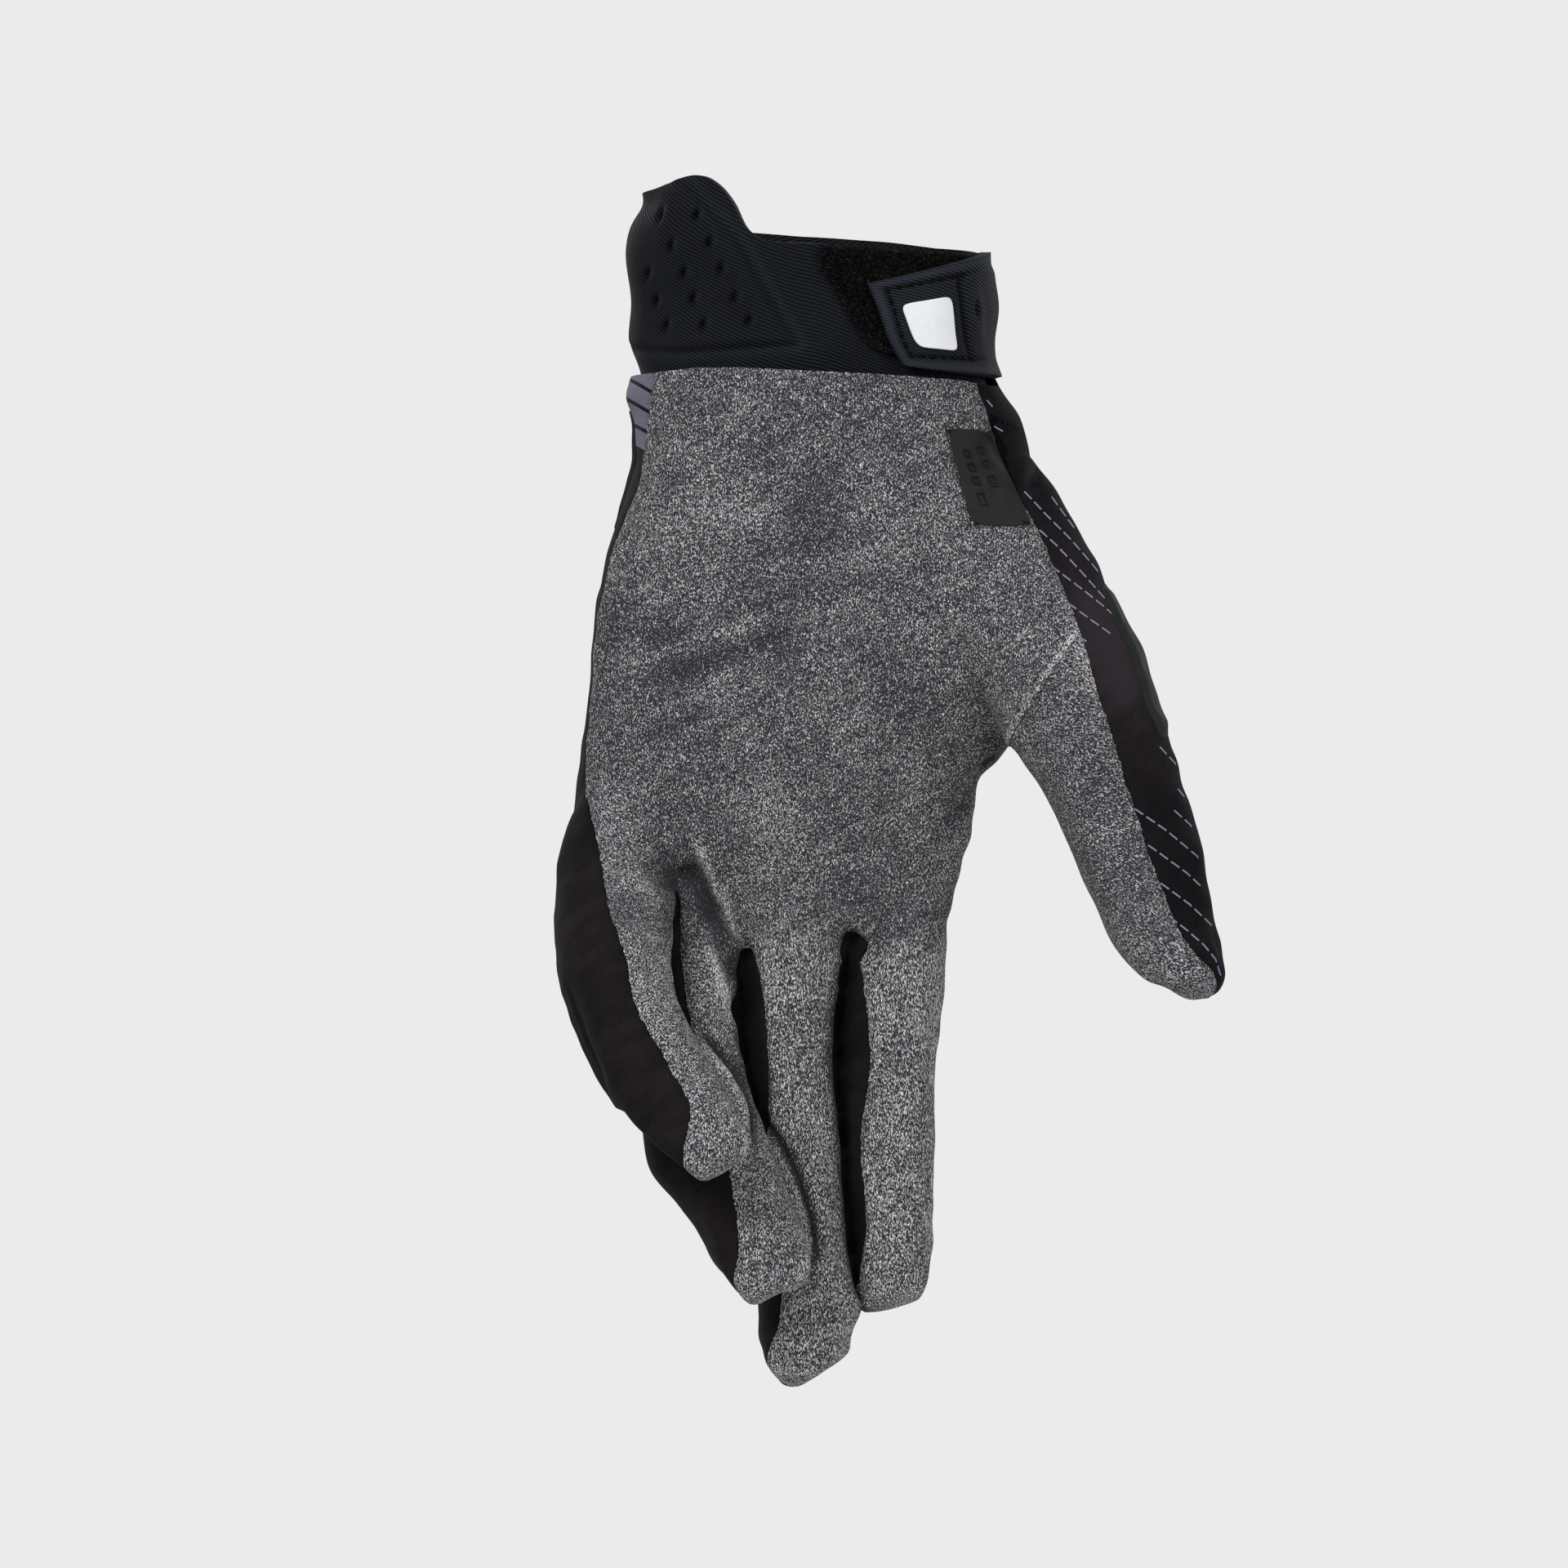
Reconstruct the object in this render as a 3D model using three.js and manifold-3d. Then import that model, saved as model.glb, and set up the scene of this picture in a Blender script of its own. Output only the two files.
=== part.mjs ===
// A left-hand motorcycle glove in its worn form: fingers down, palm towards -Y, thumb towards +X.
// Millimetres, +Z up, with the origin in the middle of the wrist opening.
// The hand is a set of limbs, each a soft tube down a short table of cross sections. The cloth panels
// are slices of those limbs, joined where the limbs meet and hollowed by the same limbs made smaller.

import * as THREE from "three";
import { mergeVertices } from "three/addons/utils/BufferGeometryUtils.js";
import Module from "manifold-3d";

const wasm = await Module();
wasm.setup();

// Driving dimensions: cloth and seams
const clothWall = 1.3; // suede and jersey
const cuffWall = 2.6; // ribbed neoprene
const seamGap = 0.3; // between any two neighbouring pieces
const guardThickness = 1.4; // moulded rubber guards
const padThickness = 0.9; // padded print on the little finger
const patchThickness = 1; // rubber grip patch

// Driving dimensions: cuff
const cuffHeight = 27;
const cuffWidth = 71;
const cuffDepth = 40;
const flapRise = 14.3; // how far the cuff's outer flap stands above the rim
const seamLipDepth = 4; // how far the cuff reaches into the hand below the seam

// Driving dimensions: closure
const loopThickness = 0.9;
const strapThickness = 2.1;
const badgeThickness = 0.7;

// Driving dimensions: hand
const palmLength = 115.5;
const palmWidth = 88;
const palmDepth = 38;
const indexLength = 99.8;
const indexWidth = 20.6;
const middleLength = 114.5;
const middleWidth = 20.4;
const ringLength = 99.3;
const ringWidth = 22;
const littleLength = 77.5;
const littleWidth = 23.4;
const fingerDepth = 19.6;
const thumbLength = 108.4;
const thumbWidth = 34.6;
const thumbDepth = 25.5;

// How round the cross sections are: 2 is an ellipse, more is squarer.
const fingerPower = 2.2;
const palmPower = 2.6;
const cuffPower = 2.4;

const degree = Math.PI / 180;
const palmTop = -cuffHeight - seamGap;

// Cross sections. down is a share of the limb's length, side and front are the centre line's place as
// shares of that length, and wide and deep are shares of the limb's width and depth. The suede covers
// the section from the angle left to the angle right, with 0 at the palm side and 90 at the thumb side.
const palmRows = [
  { down: 0, side: 0, front: 0, wide: 0.838, deep: 1.08, left: -58, right: 58 },
  { down: 0.11, side: 0.017, front: 0, wide: 0.885, deep: 1.03, left: -66, right: 60 },
  { down: 0.257, side: 0.026, front: 0, wide: 0.96, deep: 1.0, left: -77, right: 70 },
  { down: 0.43, side: 0.009, front: -0.003, wide: 1.0, deep: 0.97, left: -80, right: 85 },
  { down: 0.543, side: -0.006, front: -0.007, wide: 1.002, deep: 0.95, left: -81, right: 92 },
  { down: 0.655, side: -0.036, front: -0.014, wide: 0.973, deep: 0.88, left: -80, right: 97 },
  { down: 0.751, side: -0.069, front: -0.02, wide: 0.925, deep: 0.78, left: -67, right: 100 },
  { down: 0.846, side: -0.081, front: -0.026, wide: 0.9, deep: 0.67, left: -52, right: 100 },
  { down: 0.924, side: -0.055, front: -0.03, wide: 0.793, deep: 0.58, left: -60, right: 100 },
  { down: 1, side: -0.026, front: -0.032, wide: 0.614, deep: 0.52, left: -60, right: 100 },
];

const indexRows = [
  { down: 0, side: 0, front: 0, wide: 0.97, deep: 0.98, left: -66, right: 100 },
  { down: 0.14, side: 0.008, front: -0.005, wide: 0.99, deep: 1.02, left: -62, right: 100 },
  { down: 0.24, side: 0.013, front: -0.01, wide: 0.99, deep: 1.03, left: -52, right: 100 },
  { down: 0.32, side: 0.011, front: -0.01, wide: 0.99, deep: 1.03, left: -36, right: 100 },
  { down: 0.48, side: -0.002, front: -0.005, wide: 1.01, deep: 1.02, left: -17, right: 98 },
  { down: 0.65, side: -0.003, front: 0, wide: 0.97, deep: 0.98, left: -30, right: 98 },
  { down: 0.82, side: -0.001, front: 0.015, wide: 0.91, deep: 0.94, left: -25, right: 98 },
  { down: 0.91, side: 0, front: 0.025, wide: 0.86, deep: 0.9, left: -38, right: 100 },
  { down: 1, side: 0.002, front: 0.034, wide: 0.8, deep: 0.84, left: -70, right: 105 },
];

const middleRows = [
  { down: 0, side: 0, front: 0, wide: 1.02, deep: 1.0, left: -60, right: 62 },
  { down: 0.12, side: 0, front: 0, wide: 1.04, deep: 1.04, left: -60, right: 62 },
  { down: 0.21, side: -0.004, front: 0, wide: 1.01, deep: 1.05, left: -58, right: 64 },
  { down: 0.3, side: -0.017, front: 0.005, wide: 0.98, deep: 1.04, left: -31, right: 80 },
  { down: 0.42, side: -0.028, front: 0.022, wide: 0.99, deep: 1.04, left: -13, right: 76 },
  { down: 0.6, side: -0.012, front: 0.042, wide: 0.98, deep: 1.0, left: -26, right: 78 },
  { down: 0.72, side: -0.002, front: 0.061, wide: 0.96, deep: 0.97, left: -26, right: 84 },
  { down: 0.89, side: 0.015, front: 0.092, wide: 0.94, deep: 0.94, left: -31, right: 90 },
  { down: 1, side: 0.004, front: 0.11, wide: 0.88, deep: 0.88, left: -62, right: 95 },
];

const ringRows = [
  { down: 0, side: 0, front: 0, wide: 0.92, deep: 1.0, left: -64, right: 62 },
  { down: 0.14, side: -0.01, front: 0, wide: 0.95, deep: 1.04, left: -60, right: 62 },
  { down: 0.25, side: -0.03, front: 0.01, wide: 0.96, deep: 1.03, left: -14, right: 66 },
  { down: 0.34, side: -0.045, front: 0.04, wide: 0.98, deep: 1.02, left: -2, right: 84 },
  { down: 0.45, side: -0.055, front: 0.092, wide: 1.01, deep: 1.0, left: 9, right: 92 },
  { down: 0.57, side: -0.034, front: 0.15, wide: 1.03, deep: 1.0, left: 12, right: 94 },
  { down: 0.68, side: 0.0, front: 0.194, wide: 1.02, deep: 0.99, left: 12, right: 94 },
  { down: 0.8, side: 0.058, front: 0.237, wide: 0.95, deep: 0.95, left: 0, right: 94 },
  { down: 0.9, side: 0.102, front: 0.266, wide: 0.87, deep: 0.9, left: -20, right: 96 },
  { down: 1, side: 0.121, front: 0.29, wide: 0.78, deep: 0.84, left: -60, right: 100 },
];

const littleRows = [
  { down: 0, side: 0, front: 0, wide: 0.84, deep: 0.9, left: -60, right: 62 },
  { down: 0.1, side: -0.02, front: 0.032, wide: 0.99, deep: 0.98, left: -32, right: 62 },
  { down: 0.19, side: -0.035, front: 0.075, wide: 1.05, deep: 1.02, left: -16, right: 64 },
  { down: 0.28, side: -0.043, front: 0.128, wide: 1.06, deep: 1.03, left: -7, right: 72 },
  { down: 0.39, side: -0.051, front: 0.2, wide: 1.02, deep: 1.0, left: 2, right: 90 },
  { down: 0.5, side: -0.037, front: 0.272, wide: 0.98, deep: 0.98, left: 11, right: 94 },
  { down: 0.63, side: 0.004, front: 0.348, wide: 0.95, deep: 0.96, left: 8, right: 94 },
  { down: 0.76, side: 0.078, front: 0.418, wide: 0.9, deep: 0.94, left: 11, right: 94 },
  { down: 0.88, side: 0.163, front: 0.474, wide: 0.84, deep: 0.88, left: 0, right: 96 },
  { down: 1, side: 0.222, front: 0.525, wide: 0.74, deep: 0.8, left: -60, right: 100 },
];

const thumbRows = [
  { down: 0, side: 0, front: 0, wide: 0.88, deep: 0.92, left: -120, right: 35 },
  { down: 0.09, side: 0.064, front: 0.01, wide: 1.0, deep: 1.0, left: -120, right: 38 },
  { down: 0.21, side: 0.148, front: 0.028, wide: 0.995, deep: 1.0, left: -120, right: 32 },
  { down: 0.355, side: 0.241, front: 0.06, wide: 0.92, deep: 0.97, left: -120, right: 24 },
  { down: 0.535, side: 0.336, front: 0.1, wide: 0.805, deep: 0.89, left: -118, right: 9 },
  { down: 0.67, side: 0.395, front: 0.128, wide: 0.72, deep: 0.81, left: -115, right: 5 },
  { down: 0.825, side: 0.453, front: 0.158, wide: 0.62, deep: 0.73, left: -115, right: 4 },
  { down: 0.93, side: 0.497, front: 0.18, wide: 0.56, deep: 0.68, left: -115, right: 9 },
  { down: 1, side: 0.543, front: 0.19, wide: 0.5, deep: 0.62, left: -115, right: 35 },
];

// The cuff's own sections run from the top of its flap down to the hand.
const cuffRows = [
  { down: 0, side: -0.024, front: 0, wide: 0.94, deep: 1.02 },
  { down: 0.15, side: -0.032, front: 0, wide: 0.965, deep: 1.02 },
  { down: 0.3, side: -0.046, front: 0, wide: 1.005, deep: 1.01 },
  { down: 0.42, side: -0.05, front: 0, wide: 1.012, deep: 1.0 },
  { down: 0.67, side: -0.032, front: 0, wide: 0.986, deep: 0.97 },
  { down: 0.87, side: -0.036, front: 0, wide: 0.995, deep: 0.97 },
  { down: 1, side: -0.022, front: 0, wide: 0.98, deep: 0.97 },
];

// Height of the cuff's rim round the wrist, as a share of the cuff's height.
const rimRows = [
  { around: -180, up: 1.09 },
  { around: -135, up: 1.2 },
  { around: -105, up: 1.32 },
  { around: -85, up: 1.4 },
  { around: -63, up: 1.44 },
  { around: -48, up: 1.5 },
  { around: -37, up: 1.52 },
  { around: -29, up: 1.42 },
  { around: -22, up: 1.26 },
  { around: -15, up: 1.1 },
  { around: -9, up: 1.04 },
  { around: 0, up: 1.025 },
  { around: 20, up: 1.0 },
  { around: 45, up: 0.985 },
  { around: 90, up: 0.94 },
  { around: 110, up: 0.94 },
  { around: 135, up: 1.0 },
  { around: 180, up: 1.09 },
];

// The strap's edges from its tab to its sewn end on the back of the wrist, as shares of the cuff's height.
const strapRows = [
  { around: 15, low: 0.09, high: 0.675, raised: 1 },
  { around: 30, low: 0.045, high: 0.75, raised: 1 },
  { around: 50, low: 0.02, high: 0.83, raised: 1 },
  { around: 70, low: 0.012, high: 0.885, raised: 1 },
  { around: 90, low: 0.012, high: 0.905, raised: 0.4 },
  { around: 115, low: 0.03, high: 0.9, raised: 0 },
  { around: 170, low: 0.1, high: 0.88, raised: 0 },
];
const strapTabSlant = 9; // degrees that the tab's lower corner lies behind its upper one

// The fuzzy loop pad under the tab: its lower edge runs down to the thumb side.
const loopRows = [
  { around: -2, low: 0.79, high: 0.955 },
  { around: 5, low: 0.52, high: 0.965 },
  { around: 16, low: 0.2, high: 0.955 },
  { around: 25, low: 0.16, high: 0.945 },
  { around: 66, low: 0.2, high: 0.9 },
];

// Value of a column at down, on a smooth curve through the rows.
function along(rows, key, column, at) {
  const last = rows.length - 1;
  let i = 0;
  while (i < last - 1 && at > rows[i + 1][key]) i += 1;
  const slope = (j) => {
    const before = rows[Math.max(j - 1, 0)];
    const after = rows[Math.min(j + 1, last)];
    return (after[column] - before[column]) / (after[key] - before[key]);
  };
  const step = rows[i + 1][key] - rows[i][key];
  const s = (at - rows[i][key]) / step;
  return (
    rows[i][column] * (1 + 2 * s) * (1 - s) ** 2 +
    slope(i) * step * s * (1 - s) ** 2 +
    rows[i + 1][column] * s * s * (3 - 2 * s) +
    slope(i + 1) * step * s * s * (s - 1)
  );
}

const signedPower = (x, power) => Math.sign(x) * Math.abs(x) ** power;

// A limb places points on its own surface: down it by a share of its length, round it by an angle in
// degrees, and off it by a lift in millimetres. Its last tip millimetres close like the end of a finger.
// The sections of a level limb lie flat, and those of any other stand square to its centre line.
function limb({ root, length, width, depth, power, tip = 0, level = false, rows }) {
  const tipSquareness = 2.5;
  const tipShares = [0.45, 0.76, 0.93, 0.99];
  const value = (column, t) => along(rows, "down", column, t);
  const end = (lift) => 1 + lift / length;
  const tipStart = (lift) => end(lift) - tip / length;

  const centre = (t) =>
    new THREE.Vector3(
      root.x + length * value("side", t),
      root.y - length * value("front", t),
      root.z - length * t,
    );

  const axes = (t) => {
    if (level) return { right: new THREE.Vector3(1, 0, 0), front: new THREE.Vector3(0, -1, 0) };
    const nudge = 0.01;
    const run = centre(t + nudge).sub(centre(t - nudge)).normalize();
    const right = new THREE.Vector3(1, 0, 0).addScaledVector(run, -run.x).normalize();
    return { right, front: new THREE.Vector3().crossVectors(run, right) };
  };

  const close = (t, lift) => {
    const share = tip ? (t - tipStart(lift)) / (tip / length) : 0;
    return share <= 0 ? 1 : Math.max(1 - share ** tipSquareness, 0) ** (1 / tipSquareness);
  };

  const place = (t, around, lift = 0) => {
    const { right, front } = axes(t);
    const size = close(t, lift);
    const a = ((width / 2) * value("wide", t) + lift) * size;
    const b = ((depth / 2) * value("deep", t) + lift) * size;
    return centre(t)
      .addScaledVector(right, a * signedPower(Math.sin(around * degree), 2 / power))
      .addScaledVector(front, b * signedPower(Math.cos(around * degree), 2 / power));
  };

  // The places down the limb where it gets a ring of points.
  const stations = (lift, start, ringStep) => {
    const stop = tip ? tipStart(lift) : end(lift);
    const count = Math.ceil(((stop - start) * length) / ringStep);
    const straight = Array.from({ length: count + 1 }, (_, i) => start + ((stop - start) * i) / count);
    const round = tip ? tipShares.map((share) => stop + (share * tip) / length) : [];
    return [...straight, ...round];
  };

  return { root, length, width, depth, value, centre, axes, place, stations, tipShare: tip / length };
}

// The closed solid with these vertices and faces, turned the right way out.
function solidOf(points, faces) {
  const flat = new Float32Array(points.flatMap((p) => [p.x, p.y, p.z]));
  let volume = 0;
  for (const [a, b, c] of faces) {
    volume += points[a].dot(new THREE.Vector3().crossVectors(points[b], points[c]));
  }
  const turned = volume < 0 ? faces.map(([a, b, c]) => [a, c, b]) : faces;
  const geometry = new THREE.BufferGeometry();
  geometry.setAttribute("position", new THREE.BufferAttribute(flat, 3));
  geometry.setIndex(turned.flat());
  const merged = mergeVertices(geometry, 1e-4);
  const mesh = { numProp: 3, vertProperties: merged.attributes.position.array };
  return new wasm.Manifold(new wasm.Mesh({ ...mesh, triVerts: new Uint32Array(merged.index.array) }));
}

// A solid through rings of equally many points. Its ends are capped, or it closes on itself.
function loft(rings, closed = false) {
  const count = rings[0].length;
  const points = rings.flat();
  const faces = [];
  const joins = closed ? rings.length : rings.length - 1;
  for (let r = 0; r < joins; r += 1) {
    const here = r * count;
    const next = ((r + 1) % rings.length) * count;
    for (let i = 0; i < count; i += 1) {
      const j = (i + 1) % count;
      faces.push([here + i, here + j, next + j], [here + i, next + j, next + i]);
    }
  }
  if (!closed) {
    const last = (rings.length - 1) * count;
    for (let i = 1; i < count - 1; i += 1) {
      faces.push([0, i + 1, i], [last, last + i, last + i + 1]);
    }
  }
  return solidOf(points, faces);
}

const angles = (from, to, steps) =>
  Array.from({ length: steps + 1 }, (_, i) => from + ((to - from) * i) / steps);

// The whole of a limb, grown or shrunk by lift.
function whole(body, lift, { sides, step, start = 0 }) {
  const round = angles(0, 360, sides).slice(0, -1);
  return loft(body.stations(lift, start, step).map((t) => round.map((a) => body.place(t, a, lift))));
}

// The part of a limb between two angles that change down it, as a wedge from its centre line.
// grow widens the wedge by that many millimetres on every side.
function slice(body, fromOf, toOf, { steps, step, grow = 0 }) {
  const rings = body.stations(grow, 0, step).map((t) => {
    const from = fromOf(t);
    const to = toOf(t);
    const middle = ((from + to) / 2) * degree;
    const half = ((to - from) / 2) * degree;
    const extra = (grow / (body.depth / 2)) * (1 / degree);
    const { right, front } = body.axes(t);
    const back = -grow / Math.sin(half);
    const apex = body
      .centre(t)
      .addScaledVector(right, back * Math.sin(middle))
      .addScaledVector(front, back * Math.cos(middle));
    return [apex, ...angles(from - extra, to + extra, steps).map((a) => body.place(t, a, grow))];
  });
  return loft(rings);
}

const suedeSlice = (body, fineness) =>
  slice(body, (t) => body.value("left", t), (t) => body.value("right", t), fineness);
const jerseySlice = (body, fineness) =>
  slice(body, (t) => body.value("right", t), (t) => body.value("left", t) + 360, fineness);

const joined = (solids) => solids.reduce((a, b) => a.add(b));

// The largest body of a solid. Crumbs that the cuts leave beside a seam are dropped.
const mainBody = (solid) =>
  solid.decompose().reduce((a, b) => (b.volume() > a.volume() ? b : a));

// Limbs of the hand. Each root is placed as shares of the palm's sizes.
const handRoot = (side, front, down) => ({
  x: side * palmWidth,
  y: -front * palmDepth,
  z: palmTop - down * palmLength,
});
const finger = (root, length, width, rows) =>
  limb({ root, length, width, depth: fingerDepth, power: fingerPower, tip: 0.45 * width, rows });

const palm = limb({
  root: handRoot(0, 0, 0),
  length: palmLength,
  width: palmWidth,
  depth: palmDepth,
  power: palmPower,
  tip: 7,
  level: true,
  rows: palmRows,
});
const index = finger(handRoot(0.176, -0.105, 0.785), indexLength, indexWidth, indexRows);
const middle = finger(handRoot(-0.034, -0.105, 0.785), middleLength, middleWidth, middleRows);
const ring = finger(handRoot(-0.244, -0.105, 0.768), ringLength, ringWidth, ringRows);
const little = finger(handRoot(-0.42, 0, 0.733), littleLength, littleWidth, littleRows);
const thumb = limb({
  root: handRoot(0.235, 0.08, 0.144),
  length: thumbLength,
  width: thumbWidth,
  depth: thumbDepth,
  power: fingerPower,
  tip: 8.5,
  rows: thumbRows,
});
const fingers = [index, middle, ring, little];
const palmFine = { sides: 28, steps: 13, step: 13 };
const fingerFine = { sides: 16, steps: 7, step: 10.5 };
const palmCoarse = { sides: 28, step: 18 };
const fingerCoarse = { sides: 12, step: 12 };
const fineness = (body) => (body === palm ? palmFine : fingerFine);

// Everything inside the glove, open at the wrist.
const insideStart = -3 / palmLength;
const inside = joined([
  whole(palm, -clothWall, { ...palmCoarse, start: insideStart }),
  ...[...fingers, thumb].map((body) => whole(body, -clothWall, fingerCoarse)),
]);
const outsideBy = (lift) =>
  joined([palm, ...fingers, thumb].map((body) => whole(body, lift, fineness(body))));
const outside = outsideBy(seamGap);

// The half space past the seam round the thumb's base, moved towards the tip by shift.
function pastThumbSeam(shift) {
  const seamShare = 0.4;
  const seamTilt = 28 * degree;
  const size = 2 * (thumbLength + palmWidth);
  const { right, front } = thumb.axes(seamShare);
  const run = new THREE.Vector3().crossVectors(right, front);
  const normal = run.multiplyScalar(Math.cos(seamTilt)).addScaledVector(right, Math.sin(seamTilt));
  const box = new THREE.BoxGeometry(size, size, size).toNonIndexed();
  const turn = new THREE.Quaternion().setFromUnitVectors(new THREE.Vector3(0, 0, 1), normal);
  const middlePoint = thumb.centre(seamShare).addScaledVector(normal, size / 2 + shift);
  box.applyQuaternion(turn).translate(middlePoint.x, middlePoint.y, middlePoint.z);
  box.deleteAttribute("normal");
  box.deleteAttribute("uv");
  const merged = mergeVertices(box, 1e-4);
  const mesh = { numProp: 3, vertProperties: merged.attributes.position.array };
  return new wasm.Manifold(new wasm.Mesh({ ...mesh, triVerts: new Uint32Array(merged.index.array) }));
}

// Suede: the palm with the fronts of the fingers, and the front of the thumb past its seam.
const palmSuede = joined([palm, ...fingers].map((body) => suedeSlice(body, fineness(body))));
const thumbSuede = suedeSlice(thumb, fingerFine);
const palmOutside = whole(palm, seamGap, palmFine);
const palmPanel = mainBody(
  palmSuede.add(thumbSuede.subtract(pastThumbSeam(0))).subtract(inside),
);
const thumbFront = mainBody(
  thumbSuede.intersect(pastThumbSeam(seamGap)).subtract(palmOutside).subtract(inside),
);

// Jersey: the back of the hand and fingers, and the back of the thumb.
const suedeGrown = joined(
  [palm, ...fingers, thumb].map((body) => suedeSlice(body, { ...fineness(body), grow: seamGap })),
);
const backPanel = mainBody(
  joined([palm, ...fingers].map((body) => jerseySlice(body, fineness(body))))
    .subtract(suedeGrown)
    .subtract(inside),
);
const thumbBack = mainBody(
  jerseySlice(thumb, fingerFine).subtract(suedeGrown).subtract(palmOutside).subtract(inside),
);

// The cuff's surface, reached by an angle and a share of the cuff's height above the seam. Towards the
// seam it takes the palm's own section, less the suede that it is sewn inside.
const cuffBody = limb({
  root: { x: 0, y: 0, z: flapRise },
  length: flapRise + cuffHeight,
  width: cuffWidth,
  depth: cuffDepth,
  power: cuffPower,
  level: true,
  rows: cuffRows,
});
const lipLift = -clothWall - 2 * seamGap;
function onCuff(around, up, lift) {
  const blendHeight = 0.35;
  const share = (flapRise + cuffHeight * (1 - up)) / cuffBody.length;
  const free = cuffBody.place(Math.min(share, 1), around, lift);
  const sewn = palm.place(0, around, lipLift + lift).setZ(free.z);
  return free.lerp(sewn, Math.max(1 - up / blendHeight, 0) ** 2);
}

// A tube round the wrist whose rim follows the table, with the lip that is sewn inside the hand.
function cuff() {
  const rimSteps = 48;
  const heightSteps = 3;
  const lipBottom = seamLipDepth / palmLength;
  const round = angles(-180, 180, rimSteps).slice(0, -1);
  const sections = round.map((around) => {
    const rim = along(rimRows, "around", "up", around);
    const ups = angles(0, rim, heightSteps);
    const outer = ups.map((up) => onCuff(around, up, 0));
    const inner = ups.map((up) => onCuff(around, up, -cuffWall)).reverse();
    const lip = [lipLift - cuffWall, lipLift].map((lift) => palm.place(lipBottom, around, lift));
    return [...outer, ...inner, ...lip];
  });
  return loft(sections, true);
}

// A slab that follows a surface: at(u, v, level) places the point for u and v from 0 to 1.
function slab(uSteps, vSteps, at) {
  const rings = angles(0, 1, vSteps).map((v) => {
    const under = angles(0, 1, uSteps).map((u) => at(u, v, 0));
    const over = angles(0, 1, uSteps).map((u) => at(u, v, 1)).reverse();
    return [...under, ...over];
  });
  return loft(rings);
}

const mix = (a, b, share) => a + (b - a) * share;

// Moves the corners of the unit square inwards, for patches with rounded corners.
function rounded(u, v, amount) {
  const x = 2 * u - 1;
  const y = 2 * v - 1;
  return {
    u: (1 + x * Math.sqrt(1 - amount * y * y)) / 2,
    v: (1 + y * Math.sqrt(1 - amount * x * x)) / 2,
  };
}

const loopLow = seamGap;
const strapLow = (raised) => mix(seamGap, loopLow + loopThickness + seamGap, raised);

function loopPad() {
  const first = loopRows[0].around;
  const last = loopRows[loopRows.length - 1].around;
  return slab(4, 10, (u, v, level) => {
    const around = mix(first, last, v);
    const low = along(loopRows, "around", "low", around);
    const high = along(loopRows, "around", "high", around);
    return onCuff(around, mix(low, high, u), loopLow + level * loopThickness);
  });
}

function strap() {
  const first = strapRows[0].around;
  const last = strapRows[strapRows.length - 1].around;
  return slab(4, 20, (u, v, level) => {
    const around = mix(mix(first + strapTabSlant, first, u), last, v);
    const low = along(strapRows, "around", "low", around);
    const high = along(strapRows, "around", "high", around);
    const raised = along(strapRows, "around", "raised", around);
    return onCuff(around, mix(low, high, u), strapLow(raised) + level * strapThickness);
  });
}

// A four-cornered patch: corners hold an angle and a share, from the upper left one clockwise.
function cornered([upperLeft, upperRight, lowerRight, lowerLeft], u, v, rounding) {
  const spot = rounded(u, v, rounding);
  const at = (column) =>
    mix(
      mix(lowerLeft[column], upperLeft[column], spot.u),
      mix(lowerRight[column], upperRight[column], spot.u),
      spot.v,
    );
  return { around: at("around"), share: at("share") };
}

const badgeCorners = [
  { around: 25.5, share: 0.52 },
  { around: 45, share: 0.595 },
  { around: 48, share: 0.22 },
  { around: 32, share: 0.235 },
];

function badge() {
  const low = strapLow(1) + strapThickness + seamGap;
  return slab(4, 4, (u, v, level) => {
    const spot = cornered(badgeCorners, u, v, 0.16);
    return onCuff(spot.around, spot.share, low + level * badgeThickness);
  });
}

// A piece that lies on the hand, cut to leave the seam gap over every limb below it.
function onHand(body, corners, thickness, rounding = 0.12) {
  const sunk = -4;
  const piece = slab(5, 5, (u, v, level) => {
    const spot = cornered(corners, u, v, rounding);
    return body.place(spot.share, spot.around, mix(sunk, seamGap + thickness, level));
  });
  return mainBody(piece.subtract(outside));
}

// The grip patch's outline as seen from the palm side, as shares of the palm's width and length.
const gripOutline = [
  { side: 0.307, down: 0.105 },
  { side: 0.319, down: 0.094 },
  { side: 0.41, down: 0.096 },
  { side: 0.502, down: 0.262 },
  { side: 0.391, down: 0.262 },
  { side: 0.366, down: 0.254 },
];

function gripPatch() {
  const corner = ({ side, down }, y) =>
    new THREE.Vector3(side * palmWidth, y, palmTop - down * palmLength);
  const rings = [-palmDepth, 0].map((y) => gripOutline.map((spot) => corner(spot, y)));
  const skin = outsideBy(seamGap + patchThickness).subtract(outside);
  return mainBody(loft(rings).intersect(skin));
}

const thumbGuardCorners = [
  { around: 88, share: 0.27 },
  { around: 140, share: 0.3 },
  { around: 140, share: 0.47 },
  { around: 72, share: 0.5 },
];
const handGuardCorners = [
  { around: -155, share: 0.05 },
  { around: -103, share: 0.05 },
  { around: -101, share: 0.27 },
  { around: -155, share: 0.32 },
];
const littlePadCorners = [
  { around: -170, share: 0.36 },
  { around: -104, share: 0.38 },
  { around: -92, share: 0.74 },
  { around: -150, share: 0.76 },
];

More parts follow.
